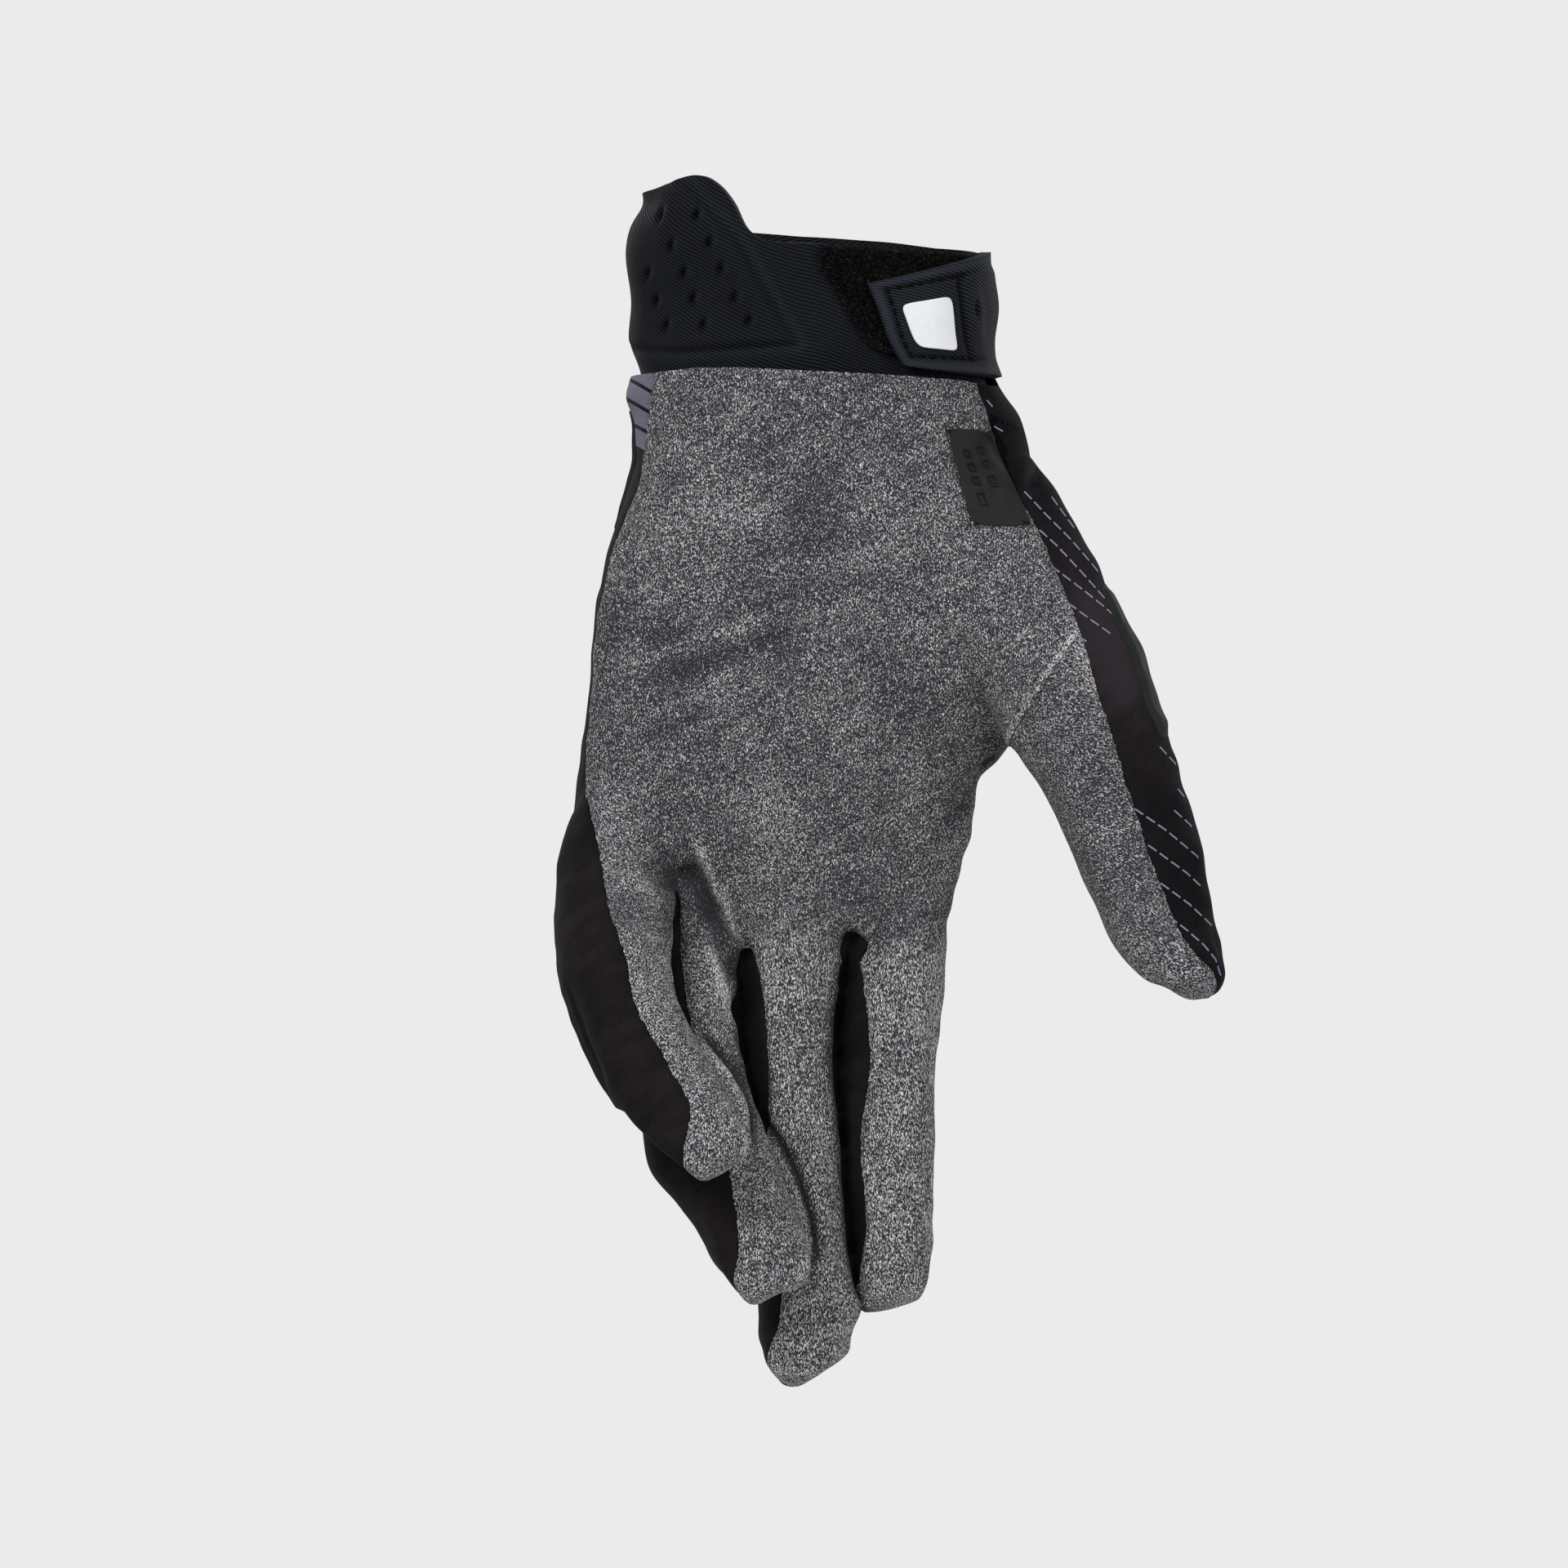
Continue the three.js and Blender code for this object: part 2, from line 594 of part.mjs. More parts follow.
const suedeCloth = { color: 0x6f6f6f, roughness: 0.95 };
const jerseyCloth = { color: 0x1c191a, roughness: 0.85 };
const ribbedCloth = { color: 0x10141a, roughness: 0.8 };
const loopPile = { color: 0x0b0b0b, roughness: 1 };
const whitePrint = { color: 0xf2f4f6, roughness: 0.45 };
const blackRubber = { color: 0x262828, roughness: 0.6 };

function mesh(name, solid, finish) {
  const { vertProperties, triVerts, numProp } = solid.getMesh();
  const geometry = new THREE.BufferGeometry();
  const points = new THREE.InterleavedBuffer(new Float32Array(vertProperties), numProp);
  geometry.setAttribute("position", new THREE.InterleavedBufferAttribute(points, 3, 0));
  geometry.setIndex(new THREE.BufferAttribute(new Uint32Array(triVerts), 1));
  const faceted = geometry.toNonIndexed();
  faceted.computeVertexNormals();
  const piece = new THREE.Mesh(faceted, new THREE.MeshStandardMaterial({ ...finish, metalness: 0 }));
  piece.name = name;
  return piece;
}

const hand = new THREE.Group();
hand.add(
  mesh("palm_panel", palmPanel, suedeCloth),
  mesh("thumb_front_panel", thumbFront, suedeCloth),
  mesh("back_panel", backPanel, jerseyCloth),
  mesh("thumb_back_panel", thumbBack, jerseyCloth),
  mesh("grip_patch", gripPatch(), blackRubber),
  mesh("thumb_guard", onHand(thumb, thumbGuardCorners, guardThickness), blackRubber),
  mesh("hand_edge_guard", onHand(palm, handGuardCorners, guardThickness), blackRubber),
  mesh("little_finger_pad", onHand(little, littlePadCorners, padThickness), jerseyCloth),
);

const closure = new THREE.Group();
closure.add(
  mesh("cuff", cuff(), ribbedCloth),
  mesh("loop_pad", loopPad(), loopPile),
  mesh("closure_strap", strap(), ribbedCloth),
  mesh("badge", badge(), whitePrint),
);

const glove = new THREE.Group();
glove.add(hand, closure);

export default glove;
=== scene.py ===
"""A left-hand riding glove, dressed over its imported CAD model.

Lengths are millimetres while a piece is shaped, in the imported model's own frame: +Z out of the
wrist, the palm towards -Y and the thumb towards +X. finished() turns a piece into metres.
"""

import math

import bmesh
import bpy
import numpy as np
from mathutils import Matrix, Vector
from mathutils.bvhtree import BVHTree


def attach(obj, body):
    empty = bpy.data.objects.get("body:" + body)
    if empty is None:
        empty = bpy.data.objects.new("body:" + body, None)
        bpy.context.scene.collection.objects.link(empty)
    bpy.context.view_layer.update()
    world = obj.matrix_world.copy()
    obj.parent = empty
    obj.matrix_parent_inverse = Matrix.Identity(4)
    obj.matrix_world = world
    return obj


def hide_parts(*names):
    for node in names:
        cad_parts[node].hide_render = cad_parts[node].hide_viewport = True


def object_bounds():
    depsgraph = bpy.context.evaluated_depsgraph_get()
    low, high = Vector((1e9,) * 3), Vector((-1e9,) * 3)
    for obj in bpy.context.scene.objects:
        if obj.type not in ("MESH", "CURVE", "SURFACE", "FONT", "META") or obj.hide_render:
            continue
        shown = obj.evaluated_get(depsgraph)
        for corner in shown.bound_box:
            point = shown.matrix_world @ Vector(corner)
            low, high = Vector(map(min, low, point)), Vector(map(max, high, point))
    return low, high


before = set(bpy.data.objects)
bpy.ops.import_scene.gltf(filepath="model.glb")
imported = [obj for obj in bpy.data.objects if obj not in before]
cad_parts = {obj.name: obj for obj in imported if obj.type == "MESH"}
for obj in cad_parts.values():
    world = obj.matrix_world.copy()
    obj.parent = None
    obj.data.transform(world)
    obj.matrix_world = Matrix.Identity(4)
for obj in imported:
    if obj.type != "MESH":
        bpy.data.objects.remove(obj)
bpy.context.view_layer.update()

MM = 0.001
DEG = math.pi / 180
rng = np.random.default_rng(7)

# The CAD model's sizes, in millimetres
CLOTH = 1.3
CUFF_WALL = 2.6
GAP = 0.3
CUFF_HEIGHT = 27
FLAP_RISE = 14.3
PALM_LENGTH = 115.5
PALM_WIDTH = 88
PALM_DEPTH = 38
PALM_TOP = -CUFF_HEIGHT - GAP
FINGER_DEPTH = 19.6

# Power of a finger's rounded section, and its blunt end's length as a share of its width
FINGER_POWER = 2.2
FINGER_END = 0.45

# Lift of the cuff off the palm's outside where it is sewn under it, and the share up the cuff over which
# it blends into the palm
SEWN_LIFT = -CLOTH - 2 * GAP
CUFF_BLEND = 0.35

# Limb tables: down, side, front, wide, deep, left, right, as in the CAD model
PALM_ROWS = [
    (0, 0, 0, 0.838, 1.08, -58, 58),
    (0.11, 0.017, 0, 0.885, 1.03, -66, 60),
    (0.257, 0.026, 0, 0.96, 1.0, -74, 70),
    (0.43, 0.009, -0.003, 1.0, 0.97, -75, 85),
    (0.543, -0.006, -0.007, 1.002, 0.95, -75, 92),
    (0.655, -0.036, -0.014, 0.973, 0.88, -76, 97),
    (0.751, -0.069, -0.02, 0.925, 0.78, -67, 100),
    (0.846, -0.081, -0.026, 0.9, 0.67, -52, 100),
    (0.924, -0.055, -0.03, 0.793, 0.58, -60, 100),
    (1, -0.026, -0.032, 0.614, 0.52, -60, 100),
]
INDEX_ROWS = [
    (0, 0, 0, 0.97, 0.98, -66, 100),
    (0.14, 0.008, -0.005, 0.99, 1.02, -62, 100),
    (0.24, 0.013, -0.01, 0.99, 1.03, -52, 100),
    (0.32, 0.011, -0.01, 0.99, 1.03, -36, 100),
    (0.48, -0.002, -0.005, 1.01, 1.02, -17, 98),
    (0.65, -0.003, 0, 0.97, 0.98, -30, 98),
    (0.82, -0.001, 0.015, 0.91, 0.94, -25, 98),
    (0.91, 0, 0.025, 0.86, 0.9, -38, 100),
    (1, 0.002, 0.034, 0.8, 0.84, -70, 105),
]
MIDDLE_ROWS = [
    (0, 0, 0, 1.02, 1.0, -60, 62),
    (0.12, 0, 0, 1.04, 1.04, -60, 62),
    (0.21, -0.004, 0, 1.01, 1.05, -58, 64),
    (0.3, -0.017, 0.005, 0.98, 1.04, -31, 80),
    (0.42, -0.028, 0.022, 0.99, 1.04, -13, 76),
    (0.6, -0.012, 0.042, 0.98, 1.0, -26, 78),
    (0.72, -0.002, 0.061, 0.96, 0.97, -26, 84),
    (0.89, 0.015, 0.092, 0.94, 0.94, -31, 90),
    (1, 0.004, 0.11, 0.88, 0.88, -62, 95),
]
RING_ROWS = [
    (0, 0, 0, 0.92, 1.0, -64, 62),
    (0.14, -0.01, 0, 0.95, 1.04, -60, 62),
    (0.25, -0.03, 0.01, 0.96, 1.03, -14, 66),
    (0.34, -0.045, 0.04, 0.98, 1.02, -2, 84),
    (0.45, -0.055, 0.092, 1.01, 1.0, 9, 92),
    (0.57, -0.034, 0.15, 1.03, 1.0, 12, 94),
    (0.68, 0.0, 0.194, 1.02, 0.99, 12, 94),
    (0.8, 0.058, 0.237, 0.95, 0.95, 0, 94),
    (0.9, 0.102, 0.266, 0.87, 0.9, -20, 96),
    (1, 0.121, 0.29, 0.78, 0.84, -60, 100),
]
LITTLE_ROWS = [
    (0, 0, 0, 0.84, 0.9, -60, 62),
    (0.1, -0.02, 0.032, 0.99, 0.98, -32, 62),
    (0.19, -0.035, 0.075, 1.05, 1.02, -16, 64),
    (0.28, -0.043, 0.128, 1.06, 1.03, -7, 82),
    (0.39, -0.051, 0.2, 1.02, 1.0, 2, 88),
    (0.5, -0.037, 0.272, 0.98, 0.98, 11, 76),
    (0.63, 0.004, 0.348, 0.95, 0.96, 8, 78),
    (0.76, 0.078, 0.418, 0.9, 0.94, 11, 94),
    (0.88, 0.163, 0.474, 0.84, 0.88, 0, 96),
    (1, 0.222, 0.525, 0.74, 0.8, -60, 100),
]
THUMB_ROWS = [
    (0, 0, 0, 0.88, 0.92, -120, 35),
    (0.09, 0.064, 0.01, 1.0, 1.0, -120, 38),
    (0.21, 0.148, 0.028, 0.995, 1.0, -120, 34),
    (0.355, 0.241, 0.06, 0.92, 0.97, -120, 22),
    (0.535, 0.336, 0.1, 0.805, 0.89, -118, 8),
    (0.67, 0.395, 0.128, 0.72, 0.81, -115, 2),
    (0.825, 0.453, 0.158, 0.62, 0.73, -115, 0),
    (0.93, 0.497, 0.18, 0.56, 0.68, -115, 3),
    (1, 0.543, 0.19, 0.5, 0.62, -115, 25),
]
CUFF_ROWS = [
    (0, -0.024, 0, 0.94, 1.02, 0, 0),
    (0.15, -0.032, 0, 0.965, 1.02, 0, 0),
    (0.3, -0.046, 0, 1.005, 1.01, 0, 0),
    (0.42, -0.05, 0, 1.012, 1.0, 0, 0),
    (0.67, -0.032, 0, 0.986, 0.97, 0, 0),
    (0.87, -0.036, 0, 0.995, 0.97, 0, 0),
    (1, -0.022, 0, 0.98, 0.97, 0, 0),
]

# Rim of the cuff: angle round it in degrees, and share up it
RIM_ROWS = [
    (-180, 1.09), (-135, 1.2), (-105, 1.31), (-85, 1.37), (-63, 1.41), (-48, 1.475),
    (-37, 1.495), (-29, 1.425), (-22, 1.285), (-15, 1.088), (-9, 1.006), (0, 0.98),
    (20, 0.96), (45, 0.95), (90, 0.93), (110, 0.93), (135, 1.0), (180, 1.09),
]

# Strap: angle round the cuff, low and high edge as shares up it, and the share of the loop pad's lift
STRAP_ROWS = [
    (15, 0.09, 0.675, 1), (30, 0.045, 0.755, 1), (50, 0.018, 0.845, 1), (70, 0.008, 0.91, 1),
    (90, 0.004, 0.945, 0.4), (115, 0.03, 0.93, 0), (170, 0.1, 0.88, 0),
]

# Slant of the end of the strap's tab, in degrees round the cuff
STRAP_TAB_SLANT = 9

# Loop pad: angle round the cuff, low and high edge as shares up it
LOOP_ROWS = [
    (3.5, 0.79, 0.945), (8.5, 0.52, 0.955), (17, 0.2, 0.95), (25, 0.16, 0.94), (66, 0.2, 0.9),
]


def curve(rows, column, at):
    """A column's value at the place at, on a smooth curve through the rows."""
    table = np.array(rows, float)
    keys, values = table[:, 0], table[:, column]
    last = len(keys) - 1
    before = np.maximum(np.arange(last + 1) - 1, 0)
    after = np.minimum(np.arange(last + 1) + 1, last)
    slope = (values[after] - values[before]) / (keys[after] - keys[before])
    at = np.asarray(at, float)
    i = np.clip(np.searchsorted(keys, at, "right") - 1, 0, last - 1)
    step = keys[i + 1] - keys[i]
    s = (at - keys[i]) / step
    return (
        values[i] * (1 + 2 * s) * (1 - s) ** 2
        + slope[i] * step * s * (1 - s) ** 2
        + values[i + 1] * s * s * (3 - 2 * s)
        + slope[i + 1] * step * s * s * (s - 1)
    )


def signed_power(x, power):
    return np.sign(x) * np.abs(x) ** power


def smooth(x, low, high):
    s = np.clip((x - low) / (high - low), 0, 1)
    return s * s * (3 - 2 * s)


def dot(a, b):
    return np.sum(a * b, axis=-1)


class Limb:
    """One soft tube of the hand, laid out as in the CAD model."""

    SIDE, FRONT, WIDE, DEEP, LEFT, RIGHT = range(1, 7)
    SQUARE = 3.0

    # Shares down the limb: a short step along it, and how far past its ends points are followed
    STEP = 0.01
    ABOVE = -0.1
    BELOW = 1.15

    # Points that are searched at a time
    BATCH = 20000

    def __init__(self, root, length, width, depth, power, rows, tip=0.0, level=False):
        self.root = np.array(root, float)
        self.length, self.width, self.depth, self.power = length, width, depth, power
        self.rows, self.tip, self.level = rows, tip, level

    def value(self, column, t):
        return curve(self.rows, column, t)

    def centre(self, t):
        t = np.asarray(t, float)
        offset = np.stack([self.value(self.SIDE, t), -self.value(self.FRONT, t), -t], -1)
        return self.root + self.length * offset

    def axes(self, t):
        t = np.asarray(t, float)
        x_axis = np.broadcast_to([1.0, 0, 0], t.shape + (3,))
        if self.level:
            down = np.broadcast_to([0, 0, -1.0], t.shape + (3,))
            return x_axis, np.broadcast_to([0, -1.0, 0], t.shape + (3,)), down
        run = self.centre(t + self.STEP) - self.centre(t - self.STEP)
        run /= np.linalg.norm(run, axis=-1, keepdims=True)
        right = x_axis - run * run[..., :1]
        right /= np.linalg.norm(right, axis=-1, keepdims=True)
        return right, np.cross(run, right), run

    def half_sizes(self, t, lift=0.0):
        a = self.width / 2 * self.value(self.WIDE, t) + lift
        return a, self.depth / 2 * self.value(self.DEEP, t) + lift

    def place(self, t, around, lift=0.0):
        """The point at the share t down the limb and the angle around it, in degrees."""
        t, around = np.broadcast_arrays(np.asarray(t, float), np.asarray(around, float))
        right, front, _ = self.axes(t)
        a, b = self.half_sizes(t, lift)
        size = np.ones_like(t)
        if self.tip:
            share = (t - 1) * self.length / self.tip + 1 - lift / self.tip
            share = np.clip(share, 0, 1)
            size = (1 - share**self.SQUARE) ** (1 / self.SQUARE)
        x = a * size * signed_power(np.sin(around * DEG), 2 / self.power)
        y = b * size * signed_power(np.cos(around * DEG), 2 / self.power)
        return self.centre(t) + x[..., None] * right + y[..., None] * front

    def seen_from(self, points):
        """Share down the limb, angle round it and distance off its surface, for each point."""
        if self.level:
            t = (self.root[2] - points[:, 2]) / self.length
        else:
            stations = np.linspace(-0.05, 1, 106)
            line = self.centre(stations)
            t = np.empty(len(points))
            for first in range(0, len(points), self.BATCH):
                part = points[first : first + self.BATCH]
                away = ((part[:, None, :] - line[None]) ** 2).sum(-1)
                t[first : first + self.BATCH] = stations[away.argmin(1)]
            for _ in range(2):
                run = self.centre(t + self.STEP) - self.centre(t - self.STEP)
                run /= 2 * self.STEP
                t = t + dot(points - self.centre(t), run) / dot(run, run)
                t = np.clip(t, self.ABOVE, self.BELOW)
        held = np.clip(t, self.ABOVE, 1.0)
        right, front, run = self.axes(held)
        off = points - self.centre(held)
        x, y, z = dot(off, right), dot(off, front), dot(off, run)
        a, b = self.half_sizes(held)
        u = signed_power(x / a, self.power / 2)
        v = signed_power(y / b, self.power / 2)
        around = np.arctan2(u, v) / DEG
        rho = np.maximum((u * u + v * v) ** (1 / self.power), 1e-6)
        flat = np.hypot(x, y)
        if not self.tip:
            return t, around, flat * (1 - 1 / rho), flat
        beyond = np.clip(((held - 1) * self.length + z) / self.tip + 1, 0, None)
        dome = (rho**self.SQUARE + beyond**self.SQUARE) ** (1 / self.SQUARE)
        reach = np.hypot(flat, beyond * self.tip)
        return t, around, reach * (1 - 1 / np.maximum(dome, 1e-6)), flat

    def suede(self, t, around, flat):
        """Distance inside the suede's edge, in millimetres along the surface."""
        t = np.clip(t, 0, 1)
        left, right = self.value(self.LEFT, t), self.value(self.RIGHT, t)
        off = (around - (left + right) / 2 + 180) % 360 - 180
        a, b = self.half_sizes(t)
        return ((right - left) / 2 - np.abs(off)) * DEG * np.maximum(flat, 0.6 * np.minimum(a, b))


def hand_root(side, front, down):
    return (side * PALM_WIDTH, -front * PALM_DEPTH, PALM_TOP - down * PALM_LENGTH)


def finger(root, length, width, rows):
    return Limb(root, length, width, FINGER_DEPTH, FINGER_POWER, rows, tip=FINGER_END * width)


palm = Limb(hand_root(0, 0, 0), PALM_LENGTH, PALM_WIDTH, PALM_DEPTH, 2.6, PALM_ROWS, 7, True)
index = finger(hand_root(0.176, -0.105, 0.785), 99.8, 20.6, INDEX_ROWS)
middle = finger(hand_root(-0.034, -0.105, 0.785), 114.5, 20.4, MIDDLE_ROWS)
ring = finger(hand_root(-0.244, -0.105, 0.768), 99.3, 22, RING_ROWS)
little = finger(hand_root(-0.42, 0, 0.733), 77.5, 23.4, LITTLE_ROWS)
thumb = Limb(hand_root(0.235, 0.08, 0.144), 108.4, 34.6, 25.5, FINGER_POWER, THUMB_ROWS, 8.5)
LIMBS = [palm, index, middle, ring, little, thumb]
LIMB_NAMES = ["palm", "index", "middle", "ring", "little", "thumb"]
cuff_body = Limb((0, 0, FLAP_RISE), FLAP_RISE + CUFF_HEIGHT, 71, 40, 2.4, CUFF_ROWS, 0, True)


def on_cuff(around, up, lift):
    """A point on the cuff at a share up its height, which blends into the palm at the seam."""
    around, up = np.broadcast_arrays(np.asarray(around, float), np.asarray(up, float))
    t = np.minimum((FLAP_RISE + CUFF_HEIGHT * (1 - up)) / cuff_body.length, 1)
    free = cuff_body.place(t, around, lift)
    sewn = palm.place(np.zeros_like(up), around, SEWN_LIFT + lift)
    sewn[..., 2] = free[..., 2]
    share = np.maximum(1 - up / CUFF_BLEND, 0)[..., None] ** 2
    return free * (1 - share) + sewn * share


# The photograph: pixels to a millimetre, and the pixels where X and Z are 0
PHOTO_SCALE = 6
PHOTO_X = 996
PHOTO_Z = 300


def mm(px, py):
    """A spot of the photograph as X and Z in millimetres."""
    return (px - PHOTO_X) / PHOTO_SCALE, (PHOTO_Z - py) / PHOTO_SCALE


# Meshes


def coords(obj):
    flat = np.empty(len(obj.data.vertices) * 3)
    obj.data.vertices.foreach_get("co", flat)
    return flat.reshape(-1, 3)


def set_coords(obj, points):
    obj.data.vertices.foreach_set("co", np.asarray(points, float).ravel())
    obj.data.update()


def normals(obj):
    flat = np.empty(len(obj.data.vertices) * 3)
    obj.data.vertex_normals.foreach_get("vector", flat)
    return flat.reshape(-1, 3)


def edges(obj):
    flat = np.empty(len(obj.data.edges) * 2, int)
    obj.data.edges.foreach_get("vertices", flat)
    return flat.reshape(-1, 2)


def relax(obj, rounds, weight=1.0):
    """Moves each vertex half way to the middle of its neighbours, or less where its weight is less."""
    points, pairs = coords(obj), edges(obj)
    count = np.bincount(pairs.ravel(), minlength=len(points))[:, None]
    weight = np.broadcast_to(weight, len(points))[:, None]
    ends = np.concatenate([pairs[:, 0], pairs[:, 1]])
    others = np.concatenate([pairs[:, 1], pairs[:, 0]])
    for _ in range(rounds):
        total = np.stack(
            [np.bincount(ends, points[others, k], len(points)) for k in range(3)], -1
        )
        points = points + 0.5 * weight * (total / count - points)
    set_coords(obj, points)


def store(obj, fields):
    for name, values in fields.items():
        layer = obj.data.attributes.new(name, "FLOAT", "POINT")
        layer.data.foreach_set("value", np.asarray(values, float))


def read(obj, name):
    values = np.empty(len(obj.data.vertices))
    obj.data.attributes[name].data.foreach_get("value", values)
    return values


def active(obj):
    bpy.ops.object.select_all(action="DESELECT")
    obj.select_set(True)
    bpy.context.view_layer.objects.active = obj
    return obj


def apply(obj, kind, **settings):
    """Adds a modifier with these settings and applies it."""
    active(obj)
    modifier = obj.modifiers.new(kind, kind)
    for name, value in settings.items():
        setattr(modifier, name, value)
    bpy.ops.object.modifier_apply(modifier=modifier.name)


def new_object(name, points, faces):
    mesh = bpy.data.meshes.new(name)
    mesh.from_pydata([tuple(p) for p in points], [], faces)
    obj = bpy.data.objects.new(name, mesh)
    bpy.context.collection.objects.link(obj)
    return active(obj)


def wrapped_grid(name, across, down, place):
    """A grid laid on a surface: place gives points for arrays u and v from 0 to 1."""
    bpy.ops.mesh.primitive_grid_add(x_subdivisions=across, y_subdivisions=down, size=2)
    obj = bpy.context.object
    obj.name = obj.data.name = name
    flat = coords(obj)
    set_coords(obj, place((flat[:, 0] + 1) / 2, (flat[:, 1] + 1) / 2))
    return obj


def grid_shares(obj, across, down):
    """u and v of a wrapped grid's vertices, which are in rows from low v to high."""
    k = np.arange(len(obj.data.vertices))
    width = across + 1
    return (k % width) / across, (k // width) / down


def rounded(u, v, across, down):
    """u and v with their corners rounded: across and down are each a share and a power."""
    x, y = 2 * u - 1, 2 * v - 1
    round_x = x * np.sqrt(1 - across[0] * y ** across[1])
    round_y = y * np.sqrt(1 - down[0] * x ** down[1])
    return (round_x + 1) / 2, (round_y + 1) / 2


def between(corners, u, v):
    """Places between four corners, which are at u, v = 1, 0, then 1, 1, then 0, 1, then 0, 0."""
    a, b, c, d = (np.array(corner)[:, None] for corner in corners)
    return (d * (1 - u) + a * u) * (1 - v) + (c * (1 - u) + b * u) * v


def tube_faces(count, rings, sides):
    """Faces round tubes, whose vertices are in rings, one tube after the other."""
    faces = []
    for tube in range(count):
        for ring in range(rings - 1):
            base = (tube * rings + ring) * sides
            for k in range(sides):
                a, b = base + k, base + (k + 1) % sides
                faces.append((a, b, b + sides, a + sides))
    return faces


def joined(objects, name):
    active(objects[0])
    for obj in objects:
        obj.select_set(True)
    bpy.ops.object.join()
    obj = bpy.context.object
    obj.name = obj.data.name = name
    return obj


def finished(obj, material, replaces=(), sharp=40):
    """Turns a piece into metres, dresses it and fixes it to the glove."""
    set_coords(obj, coords(obj) * MM)
    active(obj)
    bpy.ops.object.shade_smooth_by_angle(angle=sharp * DEG)
    obj.data.materials.clear()
    obj.data.materials.append(material)
    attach(obj, "root")
    if replaces:
        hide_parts(*replaces)
    return obj


# Shader nodes

# Numbers of the inputs and the output by which a Mix node mixes colours
MIX_SHARE = 0
MIX_LOW = 6
MIX_HIGH = 7
MIX_RESULT = 2


class Value:
    """A node socket that can be added, multiplied and passed on."""

    def __init__(self, tree, socket):
        self.tree, self.socket = tree, socket

    def node(self, kind, inputs, output=0, **settings):
        made = self.tree.nodes.new(kind)
        for name, value in settings.items():
            setattr(made, name, value)
        for name, value in inputs.items():
            if isinstance(value, Value):
                self.tree.links.new(value.socket, made.inputs[name])
            else:
                made.inputs[name].default_value = value
        return Value(self.tree, made.outputs[output])

    def maths(self, operation, *others):
        return self.node("ShaderNodeMath", dict(enumerate([self, *others])), operation=operation)

    def reflected(self, operation, other):
        return self.node("ShaderNodeMath", {0: other, 1: self}, operation=operation)

    def __add__(self, other):
        return self.maths("ADD", other)

    def __sub__(self, other):
        return self.maths("SUBTRACT", other)

    def __mul__(self, other):
        return self.maths("MULTIPLY", other)

    def __truediv__(self, other):
        return self.maths("DIVIDE", other)

    __radd__ = __add__
    __rmul__ = __mul__

    def __rsub__(self, other):
        return self.reflected("SUBTRACT", other)

    def __rtruediv__(self, other):
        return self.reflected("DIVIDE", other)

    def ramp(self, low, high, out_low=0.0, out_high=1.0):
        inputs = {"Value": self, "From Min": low, "From Max": high}
        inputs.update({"To Min": out_low, "To Max": out_high})
        return self.node("ShaderNodeMapRange", inputs, interpolation_type="SMOOTHSTEP")

    def noise(self, scale, detail=2.0, roughness=0.5, distortion=0.0):
        inputs = {"Vector": self, "Scale": scale, "Detail": detail}
        inputs.update({"Roughness": roughness, "Distortion": distortion})
        return self.node("ShaderNodeTexNoise", inputs)

    def mapped(self, scale=(1, 1, 1), turn=(0, 0, 0)):
        inputs = {"Vector": self, "Scale": scale, "Rotation": [a * DEG for a in turn]}
        return self.node("ShaderNodeMapping", inputs)

    def axis(self, name):
        return self.node("ShaderNodeSeparateXYZ", {"Vector": self}, output="XYZ".index(name))

    def mixed(self, low, high):
        """From low to high, which are colour values or colours with alpha."""
        inputs = {MIX_SHARE: self, MIX_LOW: low, MIX_HIGH: high}
        return self.node("ShaderNodeMix", inputs, output=MIX_RESULT, data_type="RGBA")

    def colours(self, low, high):
        return self.mixed((*low, 1), (*high, 1))


def linear(*rgb):
    """sRGB from 0 to 255, as a linear colour."""
    share = np.array(rgb, float) / 255
    return tuple(np.where(share <= 0.04045, share / 12.92, ((share + 0.055) / 1.055) ** 2.4))


def material(name, roughness, **settings):
    """A material with its shader, and a value that holds its coordinates in millimetres."""
    made = bpy.data.materials.new(name)
    made.use_nodes = True
    shader = made.node_tree.nodes["Principled BSDF"]
    shader.inputs["Roughness"].default_value = roughness
    for key, value in settings.items():
        shader.inputs[key.replace("_", " ")].default_value = value
    source = made.node_tree.nodes.new("ShaderNodeTexCoord")
    place = Value(made.node_tree, source.outputs["Object"])
    return made, shader, place.mapped((1000, 1000, 1000))


def link(shader, name, value):
    value.tree.links.new(value.socket, shader.inputs[name])


def bump(shader, height, distance):
    """Raises the surface by height times distance millimetres."""
    inputs = {"Height": height, "Distance": distance * MM, "Strength": 1.0}
    link(shader, "Normal", height.node("ShaderNodeBump", inputs))


def painted_fold_shading(made):
    """Painted light and shade of folds, dents, seams and gaps between fingers, which is stored on a
    cloth's mesh.
    """
    layer = made.node_tree.nodes.new("ShaderNodeAttribute")
    layer.attribute_name = "fold"
    return Value(made.node_tree, layer.outputs["Fac"])


# Heights between which the palm's short flecks turn into the longer ones of the fingers
KNUCKLES = (-150, -125)


